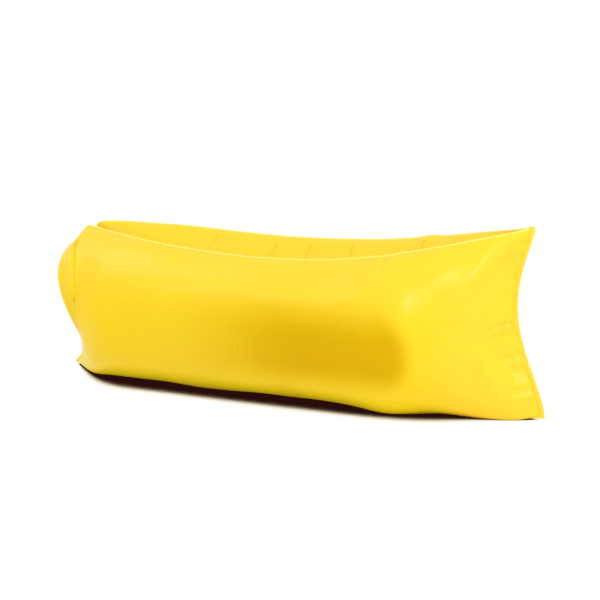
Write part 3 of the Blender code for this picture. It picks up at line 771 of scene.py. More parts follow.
class SurfaceEffects:
    """The effects that several finishes share, each a node group."""

    def __init__(self) -> None:
        """Build the groups."""
        self.weave = self.build_weave()
        self.tone = self.build_tone_with_painted_shade()
        self.crinkle = self.build_crinkle()
        self.handling = self.build_handling()

    @staticmethod
    def build_weave() -> bpy.types.NodeTree:
        """A plain weave with thicker ripstop threads in squares, from places on the flat cloth in metres.

        Returns:
            The new node group.
        """
        sizes = {"Cloth": None, "Thread": 0.0006, "Square": 0.006}
        graph, given, out = new_group("ripstop_weave", sizes, {"Height": 0.0, "Squares": 0.0})
        apart = graph.add("SeparateXYZ", in_Vector=given["Cloth"])
        threads = []
        lines = []
        for axis in (0, 1):
            threads.append(graph.threads(apart.outputs[axis], given["Thread"]))
            part = graph.math("FRACT", graph.math("DIVIDE", apart.outputs[axis], given["Square"]))
            lines.append(graph.remap(graph.math("ABSOLUTE", graph.math("SUBTRACT", part, 0.5)), 0.40, 0.49))
        squares = graph.most(*lines)
        height = graph.math("MULTIPLY_ADD", squares, 1.5, graph.times(*threads))
        graph.put_all(out, Height=height, Squares=squares)
        return graph.tree

    @staticmethod
    def build_tone_with_painted_shade() -> bpy.types.NodeTree:
        """Cloth colour that is painted with shade where it is told to deepen, and varies a little at random
        from place to place.

        Returns:
            The new node group.
        """
        # Deep is the painted shade's colour, and Deepening how much of it is painted.
        colours = {"Light": (1.0, 1.0, 1.0), "Deep": (0.5, 0.5, 0.5)}
        sizes = {"Cloth": None, **colours, "Deepening": 0.5, "Mottling": 0.1}
        graph, given, out = new_group("cloth_tone_with_painted_shade", sizes, {"Colour": (1.0, 1.0, 1.0)})
        broad = graph.noise(given["Cloth"], 3.0, 2.0)
        fine = graph.noise(given["Cloth"], 40.0, 4.0)
        both = graph.math("SUBTRACT", graph.plus(broad, graph.times(fine, 0.5)), 0.75)
        patchy = graph.times(both, given["Mottling"])
        share = graph.add("Clamp", in_Value=graph.plus(given["Deepening"], patchy)).outputs[0]
        graph.put_all(out, Colour=graph.mix(share, given["Light"], given["Deep"]))
        return graph.tree

    @staticmethod
    def build_crinkle() -> bpy.types.NodeTree:
        """Small crushed creases, as thin coated cloth and film keep from being packed.

        Returns:
            The new node group.
        """
        sizes = {"Place": None, "Scale": 12.0, "Sharpness": 0.5}
        graph, given, out = new_group("crinkle", sizes, {"Height": 0.0})
        drift = graph.add("TexNoise", in_Vector=given["Place"], in_Scale=3.0, in_Detail=2.0)
        shift = graph.add("VectorMath", operation="SCALE", in_0=drift.outputs["Color"], in_Scale=0.25)
        both = graph.add("VectorMath", operation="ADD", in_0=given["Place"], in_1=shift.outputs[0])
        moved = both.outputs[0]
        cells = graph.add("TexVoronoi", feature="DISTANCE_TO_EDGE", in_Vector=moved, in_Scale=given["Scale"])
        crease = graph.remap(cells.outputs["Distance"], 0.0, 0.12, 1.0, 0.0)
        sharp = graph.times(crease, given["Sharpness"])
        graph.put_all(out, Height=graph.plus(sharp, graph.noise(moved, given["Scale"])))
        return graph.tree

    @staticmethod
    def build_handling() -> bpy.types.NodeTree:
        """Where edges are rubbed and hollows keep dust, as two masks.

        Returns:
            The new node group.
        """
        masks = {"Rubbed": 0.0, "Dusty": 0.0}
        graph, given, out = new_group("handling", {"Place": None, "Amount": 0.5}, masks)
        edge = graph.add("NewGeometry").outputs["Pointiness"]
        grain = graph.noise(given["Place"], 60.0, 4.0, 0.6)
        rubbed = graph.times(graph.remap(edge, 0.51, 0.60), grain)
        hollow = graph.remap(edge, 0.49, 0.42)
        dusty = graph.times(graph.plus(hollow, graph.remap(grain, 0.55, 0.8, 0.0, 0.4)), grain)
        amount = given["Amount"]
        graph.put_all(out, Rubbed=graph.times(rubbed, amount), Dusty=graph.times(dusty, amount))
        return graph.tree


def new_finish(name: str) -> tuple[Material, Graph, Sockets]:
    """An empty material, by its name, with its graph and the inputs of its Principled shader.

    Args:
        name: the material's name.

    Returns:
        The material, its graph and the inputs of its Principled shader.
    """
    material = bpy.data.materials.new(name)
    material.use_nodes = True
    return material, Graph(material.node_tree), material.node_tree.nodes["Principled BSDF"].inputs


def scaled(colour: Colour, factor: float, added: float = 0.0) -> Colour:
    """A colour times a factor, with some more of each channel, at most white."""
    return tuple(min(1.0, channel * factor + added) for channel in colour)


@dataclass(frozen=True)
class NylonFinish:
    """Coated ripstop nylon, taut and a little glossy.

    Attributes:
        light: its colour on the belly, outside the painted light and shade.
        deep: painted shade, the darker colour painted on the lower middle of the belly where shade falls.
        painted_sheen: painted sheen, a paler colour painted high up and at the foot where the lamps' sheen
            and light fall.
        painted_bounce: painted floor bounce, a paler colour painted close to the floor where light thrown up
            from it falls.
        painted_shade_heights: the heights where the painted shade comes in and goes out.
        painted_shade_reaches: the same along X, at the height painted_shade_middle.
        painted_shade_bow: how much these places curve back away from that height.
        painted_sheen_heights: the heights between which the painted sheen comes in.
        painted_sheen_reaches: the places along X between which it comes in.
        painted_bounce_heights: the heights between which the painted floor bounce goes out.
        coat: how strong the coating's gloss is, and painted_shade_coat how strong it is in the painted shade.
        weave_depth: how far the threads stand out.
        crinkle_depth: how deep the small creases are.
    """

    name: str
    light: Colour
    # deep is painted shade, crown painted sheen and painted_bounce painted floor bounce.
    deep: Colour
    painted_sheen: Colour = (1.0, 0.67, 0.026)
    painted_bounce: Colour = (1.0, 0.78, 0.008)
    painted_shade_heights: Edges = (0.07, 0.20, 0.29, 0.48)
    painted_shade_reaches: Edges = (-0.40, 0.20, 0.49, 0.58)
    painted_shade_middle: float = 0.25
    painted_shade_bow: float = 3.0
    painted_sheen_heights: Span = (0.30, 0.52)
    painted_sheen_reaches: Span = (0.50, 0.72)
    painted_bounce_heights: Span = (0.02, 0.15)
    roughness: Span = (0.36, 0.45)
    coat: float = 0.40
    painted_shade_coat: float = 0.02
    coat_roughness: float = 0.26
    weave_depth: float = 0.00012
    crinkle_depth: float = 0.0012

    def build(self, effects: SurfaceEffects) -> Material:
        """The material.

        Args:
            effects: the shared effects.

        Returns:
            The new material.
        """
        material, graph, shader = new_finish(self.name)
        cloth = graph.add("UVMap", uv_map=CLOTH_MAP).outputs["UV"]
        place = graph.add("TexCoord").outputs["Object"]
        # The base colour carries painted shade, painted sheen and painted floor bounce, and the coat is
        # weaker where the painted shade lies.
        upper, painted_shade_share = self.painted_light_zones(graph, place)
        tone = graph.add("Group", node_tree=effects.tone, in_Cloth=place, in_Light=upper, in_Deep=self.deep,
                         in_Deepening=painted_shade_share, in_Mottling=0.18)
        weave = graph.add("Group", node_tree=effects.weave, in_Cloth=cloth).outputs
        handled = graph.add("Group", node_tree=effects.handling, in_Place=place, in_Amount=0.25).outputs
        paler = graph.most(graph.times(weave["Squares"], 0.20), handled["Rubbed"])
        rough = graph.remap(graph.noise(place, 9.0), 0.3, 0.7, *self.roughness)
        crinkle = graph.add("Group", node_tree=effects.crinkle, in_Place=place, in_Scale=11.0,
                            in_Sharpness=0.35)
        creased = graph.bump(crinkle.outputs["Height"], self.crinkle_depth, 0.5)
        graph.put_all(
            shader,
            Base_Color=graph.mix(paler, tone.outputs["Colour"], scaled(self.light, 1.0, 0.06)),
            Roughness=graph.plus(rough, graph.times(handled["Dusty"], 0.3)),
            Normal=graph.bump(weave["Height"], self.weave_depth, 0.6, creased),
            Specular_IOR_Level=0.02,
            Coat_Weight=graph.remap(painted_shade_share, 0.0, 1.0, self.coat, self.painted_shade_coat),
            Coat_Roughness=self.coat_roughness,
        )
        return material

    def painted_light_zones(self, graph: Graph, place: Socket) -> tuple[Socket, Socket]:
        """The painted light and shade of the filled tubes: painted shade low on the belly, painted sheen high
        up and at the foot, and painted floor bounce near the floor.

        Args:
            graph: the material's graph.
            place: the place on the lounger.

        Returns:
            The colour outside the painted shade, with the painted sheen and floor bounce in it, and how far
            each point is in the painted shade.
        """
        apart = graph.add("SeparateXYZ", in_Vector=place).outputs
        # Painted shade: a band of heights on the lower belly, bowed and limited along X.
        off_middle = graph.math("SUBTRACT", apart["Z"], self.painted_shade_middle)
        bow = graph.times(graph.times(off_middle, off_middle), self.painted_shade_bow)
        lengthwise = graph.band(graph.plus(apart["X"], bow), self.painted_shade_reaches)
        painted_shade_share = graph.times(graph.band(apart["Z"], self.painted_shade_heights), lengthwise)
        # Painted sheen comes in high up and at the foot; painted floor bounce comes in low down, but not at
        # the foot.
        ends = graph.remap(apart["X"], *self.painted_sheen_reaches)
        painted_bounce_share = graph.math("SUBTRACT", graph.remap(apart["Z"], *self.painted_bounce_heights, 1.0, 0.0), ends)
        high = graph.most(graph.remap(apart["Z"], *self.painted_sheen_heights), ends)
        return graph.mix(painted_bounce_share, graph.mix(high, self.light, self.painted_sheen), self.painted_bounce), painted_shade_share


@dataclass(frozen=True)
class FilmFinish:
    """Thin milky film."""

    name: str = "milky_film"
    colour: Colour = (0.75, 0.76, 0.72)
    roughness: Span = (0.22, 0.36)
    crinkle_depth: float = 0.0012

    def build(self, effects: SurfaceEffects) -> Material:
        """The material, made with the shared effects.

        Args:
            effects: the shared effects.

        Returns:
            The new material.
        """
        material, graph, shader = new_finish(self.name)
        place = graph.add("TexCoord").outputs["Object"]
        cloudy = graph.noise(place, 14.0, 4.0)
        crinkle = graph.add("Group", node_tree=effects.crinkle, in_Place=place, in_Scale=26.0,
                            in_Sharpness=0.8)
        graph.put_all(
            shader,
            Base_Color=graph.mix(cloudy, self.colour, scaled(self.colour, 0.85)),
            Roughness=graph.remap(cloudy, 0.3, 0.7, *self.roughness),
            Normal=graph.bump(crinkle.outputs["Height"], self.crinkle_depth, 0.7),
            Transmission_Weight=0.25,
        )
        return material


@dataclass(frozen=True)
class WebbingFinish:
    """Woven webbing with a herringbone of thick yarns and a firm edge."""

    name: str = "woven_webbing"
    colour: Colour = (0.018, 0.018, 0.020)
    roughness: Span = (0.75, 0.95)
    yarn: float = 0.0016
    yarn_depth: float = 0.0004
    fuzz_depth: float = 0.0001

    def build(self) -> Material:
        """The material.

        Returns:
            The new material.
        """
        material, graph, shader = new_finish(self.name)
        cloth = graph.add("UVMap", uv_map=CLOTH_MAP).outputs["UV"]
        apart = graph.add("SeparateXYZ", in_Vector=cloth).outputs
        zigzag = graph.math("PINGPONG", apart["Y"], 3 * self.yarn)
        ribs = graph.threads(graph.plus(apart["X"], zigzag), self.yarn)
        rows = graph.threads(apart["Y"], self.yarn / 2)
        height = graph.math("MULTIPLY_ADD", ribs, 0.7, graph.times(rows, 0.3))
        fuzz = graph.noise(cloth, 900.0, 4.0, 0.7)
        share = graph.times(height, graph.remap(fuzz, 0.3, 0.7, 0.2, 0.8))
        graph.put_all(
            shader,
            Base_Color=graph.mix(share, self.colour, scaled(self.colour, 3.0)),
            Roughness=graph.remap(fuzz, 0.3, 0.7, *self.roughness),
            Normal=graph.bump(fuzz, self.fuzz_depth, 0.5, graph.bump(height, self.yarn_depth, 0.9)),
            Sheen_Weight=0.25,
        )
        return material


@dataclass(frozen=True)
class MouldedFinish:
    """Moulded plastic with a satin grain."""

    name: str
    colour: Colour
    roughness: Span
    grain: float = 0.00006

    def build(self, effects: SurfaceEffects) -> Material:
        """The material, made with the shared effects.

        Args:
            effects: the shared effects.

        Returns:
            The new material.
        """
        material, graph, shader = new_finish(self.name)
        place = graph.add("TexCoord").outputs["Object"]
        handled = graph.add("Group", node_tree=effects.handling, in_Place=place, in_Amount=0.5).outputs
        cloudy = graph.noise(place, 35.0)
        share = graph.plus(graph.times(cloudy, 0.18), handled["Rubbed"])
        graph.put_all(
            shader,
            Base_Color=graph.mix(share, self.colour, scaled(self.colour, 2.4, 0.02)),
            Roughness=graph.plus(graph.remap(cloudy, 0.3, 0.7, *self.roughness), handled["Dusty"]),
            Normal=graph.bump(graph.noise(place, 2600.0, 2.0), self.grain, 0.6),
        )
        return material


@dataclass(frozen=True)
class ThreadFinish:
    """Twisted sewing thread."""

    name: str
    colour: Colour
    roughness: Span = (0.45, 0.65)
    twist_depth: float = 0.0001

    def build(self) -> Material:
        """The material.

        Returns:
            The new material.
        """
        material, graph, shader = new_finish(self.name)
        twist = graph.noise(graph.add("TexCoord").outputs["Object"], 700.0)
        graph.put_all(
            shader,
            Base_Color=graph.mix(twist, self.colour, scaled(self.colour, 0.75)),
            Roughness=graph.remap(twist, 0.3, 0.7, *self.roughness),
            Normal=graph.bump(twist, self.twist_depth, 0.6),
        )
        return material


class Finishes:
    """Every finish of the lounger."""

    # The second colour of each nylon finish is its painted shade and crown its painted sheen; the binding's
    # paler yellow is a painted highlight along the ridges and keel, and the hem's slightly paler one is
    # painted light on its side face.
    NYLON = NylonFinish("ripstop_nylon", (0.97, 0.68, 0.003), (0.75, 0.45, 0.0))
    BINDING = NylonFinish("bound_seam", (1.0, 0.82, 0.12), (0.98, 0.62, 0.01), painted_sheen=(1.0, 0.88, 0.17))
    HEM = NylonFinish("hemmed_nylon", (1.0, 0.76, 0.04), (0.98, 0.62, 0.01), painted_sheen=(1.0, 0.76, 0.06))
    BUCKLE = MouldedFinish("moulded_acetal", colour=(0.025, 0.025, 0.026), roughness=(0.31, 0.42))
    STRIP = MouldedFinish("stiffener_strip", colour=(0.06, 0.06, 0.06), roughness=(0.45, 0.56))

    def __init__(self) -> None:
        """Build the materials."""
        effects = SurfaceEffects()
        self.nylon = self.NYLON.build(effects)
        self.binding = self.BINDING.build(effects)
        self.hem = self.HEM.build(effects)
        self.film = FilmFinish().build(effects)
        self.webbing = WebbingFinish().build()
        self.thread = ThreadFinish("sewing_thread", (0.99, 0.72, 0.09)).build()
        self.buckle = self.BUCKLE.build(effects)
        self.strap_thread = ThreadFinish("strap_thread", (0.03, 0.03, 0.032)).build()
        self.strip = self.STRIP.build(effects)


@dataclass
class Stitching:
    """Rows of single stitches that lie on a surface.

    Attributes:
        length: how long one stitch is.
        gap: the space to the next.
        radius: half the thread's thickness.
    """

    length: float = 0.0032
    gap: float = 0.0013
    radius: float = 0.00035

    SIDES = 6
    # The rings of a stitch: their place along it, their size and how far out of the surface they lie
    RING_SHARES = ((0.0, 0.25, -0.6), (0.15, 1.0, 0.35), (0.85, 1.0, 0.35), (1.0, 0.25, -0.6))

    def stitches(self, line: Array, normals: Array) -> tuple[Array, list]:
        """One row of stitches along a line.

        Args:
            line: the points that the row follows.
            normals: the surface's outward direction at each.

        Returns:
            The points and the faces.
        """
        runs = run_lengths(line, 0)
        pitch = self.length + self.gap
        middle = np.arange(pitch, runs[-1] - 2 * pitch, pitch) + self.length / 2
        centres = read_off(line, runs, middle)
        along = unit(read_off(line, runs, middle + self.gap) - centres)
        out = unit(read_off(normals, runs, middle))
        across = unit(np.cross(along, out))
        angles = 2 * math.pi * np.arange(self.SIDES) / self.SIDES
        turned = across[:, None] * np.cos(angles)[:, None] + out[:, None] * np.sin(angles)[:, None]
        rings = []
        for share, size, height in self.RING_SHARES:
            base = centres + along * self.length * (share - 1 / 2) + out * self.radius * height
            rings.append(base[:, None] + turned * self.radius * size)
        points = np.stack(rings, axis=1).reshape(-1, 3)
        faces = []
        for first in range(0, len(points), len(rings) * self.SIDES):
            faces += rod_faces(len(rings), self.SIDES, first)
        return points, faces

    def build(self, name: str, rows: list, material: Material) -> Piece:
        """One piece from several rows.

        Args:
            name: the piece's name.
            rows: each row's line with its normals.
            material: the thread's finish.

        Returns:
            The new piece.
        """
        points = np.empty((0, 3))
        faces = []
        for line, normals in rows:
            row_points, row_faces = self.stitches(line, normals)
            faces += [[corner + len(points) for corner in face] for face in row_faces]
            points = np.concatenate([points, row_points])
        return mesh_object(name, points, faces, material, closed=True)


@dataclass
class AirTubes:
    """The two air tubes: their fabric panels with folds, and the liners inside.

    Attributes:
        ribs_per_station: how many ribs the cloth has from one station to the next.
        rows: how many points a rib has.
        seam_gap: how far from a seam's line the cloth stops.
        ridge_reach: how far down the cloth the lift of the ridge reaches.
        liner_inset: how far inside the cloth the liners lie.
        liner_film: how thick they are.
        made: the grids of the panels that are worked out already.
    """

    form: LoungerForm
    finishes: Finishes
    ribs_per_station: int = 40
    rows: int = 150
    seam_gap: float = 0.0012
    ridge_reach: float = 0.10
    liner_inset: float = 0.010
    liner_film: float = 0.0003
    made: dict = field(default_factory=dict)

    # The bulge of the cloth round the head, which both outer panels have
    HEAD_BULGE = (
        FoldKind.SWELL, 0.0210, 0.021, 0.4,
        ((-0.855, 0.145, 0.520), (-0.838, 0.185, 0.460), (-0.812, 0.232, 0.380), (-0.795, 0.247, 0.320)),
    )
    # The folds that stay in the filled cloth: kind, depth, width, strongest share and line, mirrored in front
    FOLD_ROWS = {
        (Tube.FRONT, Panel.OUTER): (
            (FoldKind.STEP, 0.0120, 0.0095, 0.35,
             ((0.850, 0.003, 0.353), (0.810, 0.040, 0.335), (0.745, 0.110, 0.300))),
            (FoldKind.SWELL, 0.0150, 0.040, 0.4,
             ((0.852, 0.032, 0.670), (0.769, 0.101, 0.578), (0.699, 0.163, 0.456), (0.690, 0.170, 0.340))),
            (FoldKind.HOLLOW, 0.0130, 0.032, 0.5,
             ((0.857, 0.026, 0.629), (0.829, 0.040, 0.571), (0.809, 0.044, 0.468), (0.800, 0.045, 0.370))),
            (FoldKind.SWELL, 0.0110, 0.036, 0.4,
             ((0.722, 0.135, 0.287), (0.749, 0.108, 0.221), (0.802, 0.073, 0.112), (0.875, 0.038, 0.037))),
            (FoldKind.HOLLOW, 0.0080, 0.026, 0.4,
             ((0.820, 0.035, 0.260), (0.835, 0.030, 0.200), (0.870, 0.020, 0.130))),
            (FoldKind.SWELL, 0.0110, 0.055, 0.5,
             ((0.470, 0.260, 0.530), (0.510, 0.285, 0.430), (0.535, 0.262, 0.244), (0.490, 0.190, 0.060))),
            (FoldKind.VALLEY, 0.0050, 0.010, 0.0,
             ((0.424, 0.190, 0.578), (0.430, 0.245, 0.552), (0.416, 0.298, 0.479))),
            (FoldKind.VALLEY, 0.0050, 0.028, 0.5,
             ((-0.230, 0.265, 0.475), (0.035, 0.292, 0.465), (0.258, 0.292, 0.475), (0.368, 0.292, 0.490))),
            (FoldKind.HOLLOW, 0.0180, 0.070, 0.25,
             ((0.480, 0.262, 0.200), (0.300, 0.290, 0.185), (0.000, 0.290, 0.175), (-0.550, 0.280, 0.175))),
            (FoldKind.VALLEY, 0.0032, 0.009, 0.0,
             ((0.124, 0.190, 0.540), (0.123, 0.243, 0.521), (0.120, 0.262, 0.505))),
            (FoldKind.VALLEY, 0.0024, 0.012, 0.0, ((-0.420, 0.165, 0.550), (-0.440, 0.235, 0.500))),
            HEAD_BULGE,
        ),
        (Tube.FRONT, Panel.INNER): (
            (FoldKind.VALLEY, 0.0055, 0.008, 0.0,
             ((0.124, 0.188, 0.540), (0.130, 0.130, 0.510), (0.135, 0.090, 0.470))),
            (FoldKind.VALLEY, 0.0050, 0.009, 0.0,
             ((-0.260, 0.178, 0.539), (-0.265, 0.140, 0.520), (-0.275, 0.100, 0.490))),
            (FoldKind.VALLEY, 0.0045, 0.009, 0.0,
             ((0.420, 0.172, 0.580), (0.405, 0.120, 0.540), (0.395, 0.080, 0.500))),
            (FoldKind.VALLEY, 0.0040, 0.010, 0.0,
             ((-0.470, 0.155, 0.552), (-0.460, 0.110, 0.530), (-0.450, 0.080, 0.500))),
        ),
        (Tube.REAR, Panel.INNER): (
            (FoldKind.VALLEY, 0.0090, 0.0070, 0.3,
             ((-0.384, 0.150, 0.545), (-0.388, 0.119, 0.529), (-0.390, 0.060, 0.470))),
            (FoldKind.VALLEY, 0.0095, 0.0070, 0.3,
             ((-0.134, 0.160, 0.530), (-0.136, 0.119, 0.511), (-0.140, 0.060, 0.450))),
            (FoldKind.VALLEY, 0.0090, 0.0070, 0.3,
             ((0.004, 0.170, 0.535), (-0.004, 0.113, 0.505), (-0.012, 0.060, 0.450))),
            (FoldKind.VALLEY, 0.0085, 0.0070, 0.3,
             ((0.166, 0.175, 0.545), (0.170, 0.110, 0.510), (0.174, 0.060, 0.460))),
            (FoldKind.VALLEY, 0.0080, 0.0075, 0.3,
             ((0.462, 0.165, 0.585), (0.449, 0.107, 0.555), (0.436, 0.060, 0.510))),
        ),
        (Tube.REAR, Panel.OUTER): (
            (FoldKind.STEP, 0.0080, 0.0075, 0.0,
             ((0.850, 0.003, 0.355), (0.810, 0.045, 0.340), (0.755, 0.105, 0.322))),
            (FoldKind.SWELL, 0.0140, 0.040, 0.4,
             ((0.852, 0.032, 0.670), (0.769, 0.101, 0.578), (0.699, 0.163, 0.456), (0.690, 0.170, 0.350))),
            (FoldKind.HOLLOW, 0.0120, 0.032, 0.5,
             ((0.857, 0.026, 0.629), (0.829, 0.040, 0.571), (0.809, 0.044, 0.468), (0.800, 0.045, 0.380))),
            (FoldKind.SWELL, 0.0100, 0.036, 0.4,
             ((0.722, 0.135, 0.300), (0.749, 0.108, 0.221), (0.802, 0.073, 0.112), (0.875, 0.038, 0.037))),
            (FoldKind.SWELL, 0.0100, 0.055, 0.5,
             ((0.470, 0.260, 0.530), (0.500, 0.285, 0.430), (0.520, 0.262, 0.244), (0.480, 0.190, 0.060))),
            (FoldKind.HOLLOW, 0.0160, 0.070, 0.3,
             ((0.480, 0.262, 0.200), (0.250, 0.290, 0.185), (-0.050, 0.290, 0.175), (-0.550, 0.280, 0.175))),
            (FoldKind.VALLEY, 0.0050, 0.010, 0.0,
             ((0.460, 0.180, 0.585), (0.455, 0.245, 0.552), (0.440, 0.290, 0.480))),
            (FoldKind.VALLEY, 0.0030, 0.011, 0.0, ((-0.100, 0.188, 0.536), (-0.110, 0.245, 0.480))),
            HEAD_BULGE,
        ),
    }
    # Waves in the cloth, each with its length, where it starts, and its share or height
    PUCKER_WAVES = ((0.047, 0.3, 0.50), (0.031, 1.9, 0.30), (0.083, 4.1, 0.45))
    MOUTH_WAVES = ((0.037, 0.0, 1.0), (0.023, 1.1, 0.6))
    FOOT_WAVES = ((0.068, 0.4, 1.0), (0.041, 2.0, 0.7))
    PUCKER_HEIGHT = 0.0011
    PUCKER_REACH = 0.020
    PUCKER_GROUP = 0.41
    MOUTH_HEIGHT = 0.0014
    FOOT_HEIGHT = 0.0010
    # In stations: the strongest place and the reach of the mouth's pleats, and where the foot's begin and end
    MOUTH_PLACES = (0.7, 0.9)
    FOOT_PLACES = (1.6, 0.3)
    # Slow unevenness of the filled cloth: wave lengths along and across, and its height
    SWELL_WAVES = ((0.61, 0.47, 0.0022), (0.34, 0.29, 0.0012), (0.19, 0.37, 0.0006))
    SWELL_SHIFT = 1.7
    # How far from the seams, and in stations from both ends, the cloth moves less
    STILL_WIDTH = 0.012
    STILL_MOUTH = 0.35
    STILL_FOOT = 0.06
    # The part of the panels' grid that a liner follows, and the ripple of its film
    LINER_RIBS = (4, 12, 5)
    LINER_ROW_STEP = 4
    RIPPLE_HEIGHT = 0.0012
    RIPPLE_ALONG = 0.045
    RIPPLE_AROUND = 0.06

    def grid(self, tube: Tube, panel: Panel) -> tuple[Array, Array, Array]:
        """The points of one panel, with its folds.

        Args:
            tube: the tube that it belongs to.
            panel: which of its panels it is.

        Returns:
            The points, the normals that face out of the tube, and the flat cloth's places.
        """
        if (tube, panel) in self.made:
            return self.made[(tube, panel)]
        form = self.form
        places = np.linspace(0, form.last_place, form.last_place * self.ribs_per_station + 1)
        start = form.seam_stops(places, "ridge", 0, panel, self.seam_gap)[:, None]
        end = form.seam_stops(places, "keel", 1, panel, self.seam_gap)[:, None]
        shares = np.linspace(0, 1, self.rows)
        eased = (shares + (1 - np.cos(math.pi * shares)) / 2) / 2
        base = form.skin(places, start + (end - start) * eased, panel)
        base[..., 1] *= -tube.value
        near_ridge = 1 - soft_step(run_lengths(base, 1), 0, self.ridge_reach)
        base[..., 2] += form.ridge_lift(base[:, :1, 0], tube) * near_ridge
        sign = -1 if (panel is Panel.OUTER) == (tube is Tube.FRONT) else 1
        outward = sign * unit(np.cross(np.gradient(base, axis=0), np.gradient(base, axis=1)))
        along = run_lengths(base[:, self.rows // 3], 0)
        cloth = np.stack([np.repeat(along[:, None], self.rows, axis=1), run_lengths(base, 1)], axis=-1)
        total = np.zeros(base.shape[:2])
        for *sizes, line in self.FOLD_ROWS[(tube, panel)]:
            total += Fold(*sizes, np.array(line) * (1.0, tube.value, 1.0)).relief(base, outward)
        total += self.gathers(cloth, places, tube)
        total *= self.freedom(cloth, places)
        moved = base + outward * total[..., None]
        self.made[(tube, panel)] = (self.kept_clear(moved, base, tube), outward, cloth)
        return self.made[(tube, panel)]

    def gathers(self, cloth: Array, places: Array, tube: Tube) -> Array:
        """How far seams, mouth and foot, and the filling's slow unevenness, move the cloth out.

        Args:
            cloth: the points' places on the flat cloth.
            places: the ribs' places along the stations.
            tube: the tube.

        Returns:
            One distance for each point.
        """
        along, across = np.moveaxis(cloth, -1, 0)
        last = self.form.last_place
        away = across / self.PUCKER_REACH
        groups = 0.55 + 0.45 * wave(along, self.PUCKER_GROUP, tube.value)
        puckers = waves(along, self.PUCKER_WAVES, turn=tube.value) * groups * away * np.exp(1 - away)
        total = puckers * self.PUCKER_HEIGHT
        near_mouth = bell(places, *self.MOUTH_PLACES)[:, None]
        total += self.MOUTH_HEIGHT * waves(across, self.MOUTH_WAVES) * near_mouth
        early, late = self.FOOT_PLACES
        near_foot = soft_step(places, last - early, last - late)[:, None]
        total += self.FOOT_HEIGHT * waves(across, self.FOOT_WAVES) * near_foot
        for number, (length, girth, height) in enumerate(self.SWELL_WAVES):
            start = number * self.SWELL_SHIFT + tube.value
            total += height * wave(along, length, start) * wave(across, girth, 2 * start)
        return total

    def freedom(self, cloth: Array, places: Array) -> Array:
        """How freely each point can move: zero at the seams and at both ends, one away from them.

        Args:
            cloth: the points' places on the flat cloth.
            places: the ribs' places along the stations.

        Returns:
            One share for each point.
        """
        across = cloth[..., 1]
        free = soft_step(np.minimum(across, across[:, -1:] - across), 0, self.STILL_WIDTH)
        ends = soft_step(places, 0, self.STILL_MOUTH)
        return free * (ends * soft_step(self.form.last_place - places, 0, self.STILL_FOOT))[:, None]

    def kept_clear(self, moved: Array, base: Array, tube: Tube) -> Array:
        """The moved points, held off the floor and off the panels that they lie against.

        Args:
            moved: the moved points.
            base: the smooth form's points.
            tube: the tube.

        Returns:
            The points where they can stay.
        """
        clear = self.form.outer_layer + self.form.clear
        across = np.abs(base[..., 1])
        moved[..., 1] = np.where(across < clear, base[..., 1], moved[..., 1])
        moved[..., 1] = np.maximum(moved[..., 1] * tube.value, np.minimum(across, clear)) * tube.value
        resting = base[..., 2] <= self.form.clear
        moved[..., 2] = np.where(resting, base[..., 2], np.maximum(moved[..., 2], 0))
        return moved

    def build_panel(self, tube: Tube, panel: Panel) -> None:
        """One fabric panel.

        Args:
            tube: the tube that it belongs to.
            panel: which of its panels it is.
        """
        name = f"{tube.title}_{panel.value}_panel"
        points, _, cloth = self.grid(tube, panel)
        flipped = (panel is Panel.OUTER) != (tube is Tube.FRONT)
        faces = grid_faces(*points.shape[:2], flipped)
        obj = mesh_object(f"{name}_cloth", points, faces, self.finishes.nylon)
        map_cloth(obj, cloth)
        thicken(obj, self.form.fabric)
        settle(obj, name)

    def liner_rings(self, tube: Tube) -> Array:
        """The rings of points of a film liner, a little inside the cloth and crinkled.

        Args:
            tube: the tube.

        Returns:
            One row of points for each ring.
        """
        first, last, step = self.LINER_RIBS
        ribs = slice(first * self.ribs_per_station, last * self.ribs_per_station + 1, step)
        rows = slice(self.rows // 12, -self.rows // 18, self.LINER_ROW_STEP)
        sides = []
        for panel in Panel:
            points, outward, _ = self.grid(tube, panel)
            side = points[ribs, rows] - outward[ribs, rows] * self.liner_inset
            sides.append(side if panel is Panel.OUTER else side[:, ::-1])
        rings = np.concatenate(sides, axis=1)
        ripple = wave(run_lengths(rings, 0), self.RIPPLE_ALONG)
        ripple = ripple * wave(run_lengths(rings, 1), self.RIPPLE_AROUND)
        inward = rings.mean(axis=1, keepdims=True) - rings
        rings = rings + unit(inward) * (self.RIPPLE_HEIGHT * (1 + ripple))[..., None]
        rings[..., 2] = np.maximum(rings[..., 2], self.liner_inset)
        return rings

    def build_liner(self, tube: Tube) -> None:
        """The film liner inside one tube, closed at the foot and open at the head.

        Args:
            tube: the tube.
        """
        rings = self.liner_rings(tube)
        count, columns = rings.shape[:2]
        faces = grid_faces(count, columns, closed=True) + flat_cap(columns, (count - 1) * columns)
        name = f"{tube.title}_air_bladder"
        obj = mesh_object(f"{name}_film", rings, faces, self.finishes.film, closed=True)
        thicken(obj, self.liner_film)
        settle(obj, name)
        LOG.info("%s: %d rings", obj.name, count)

    def build(self) -> None:
        """Every panel and liner."""
        for tube in Tube:
            for panel in Panel:
                self.build_panel(tube, panel)
            self.build_liner(tube)


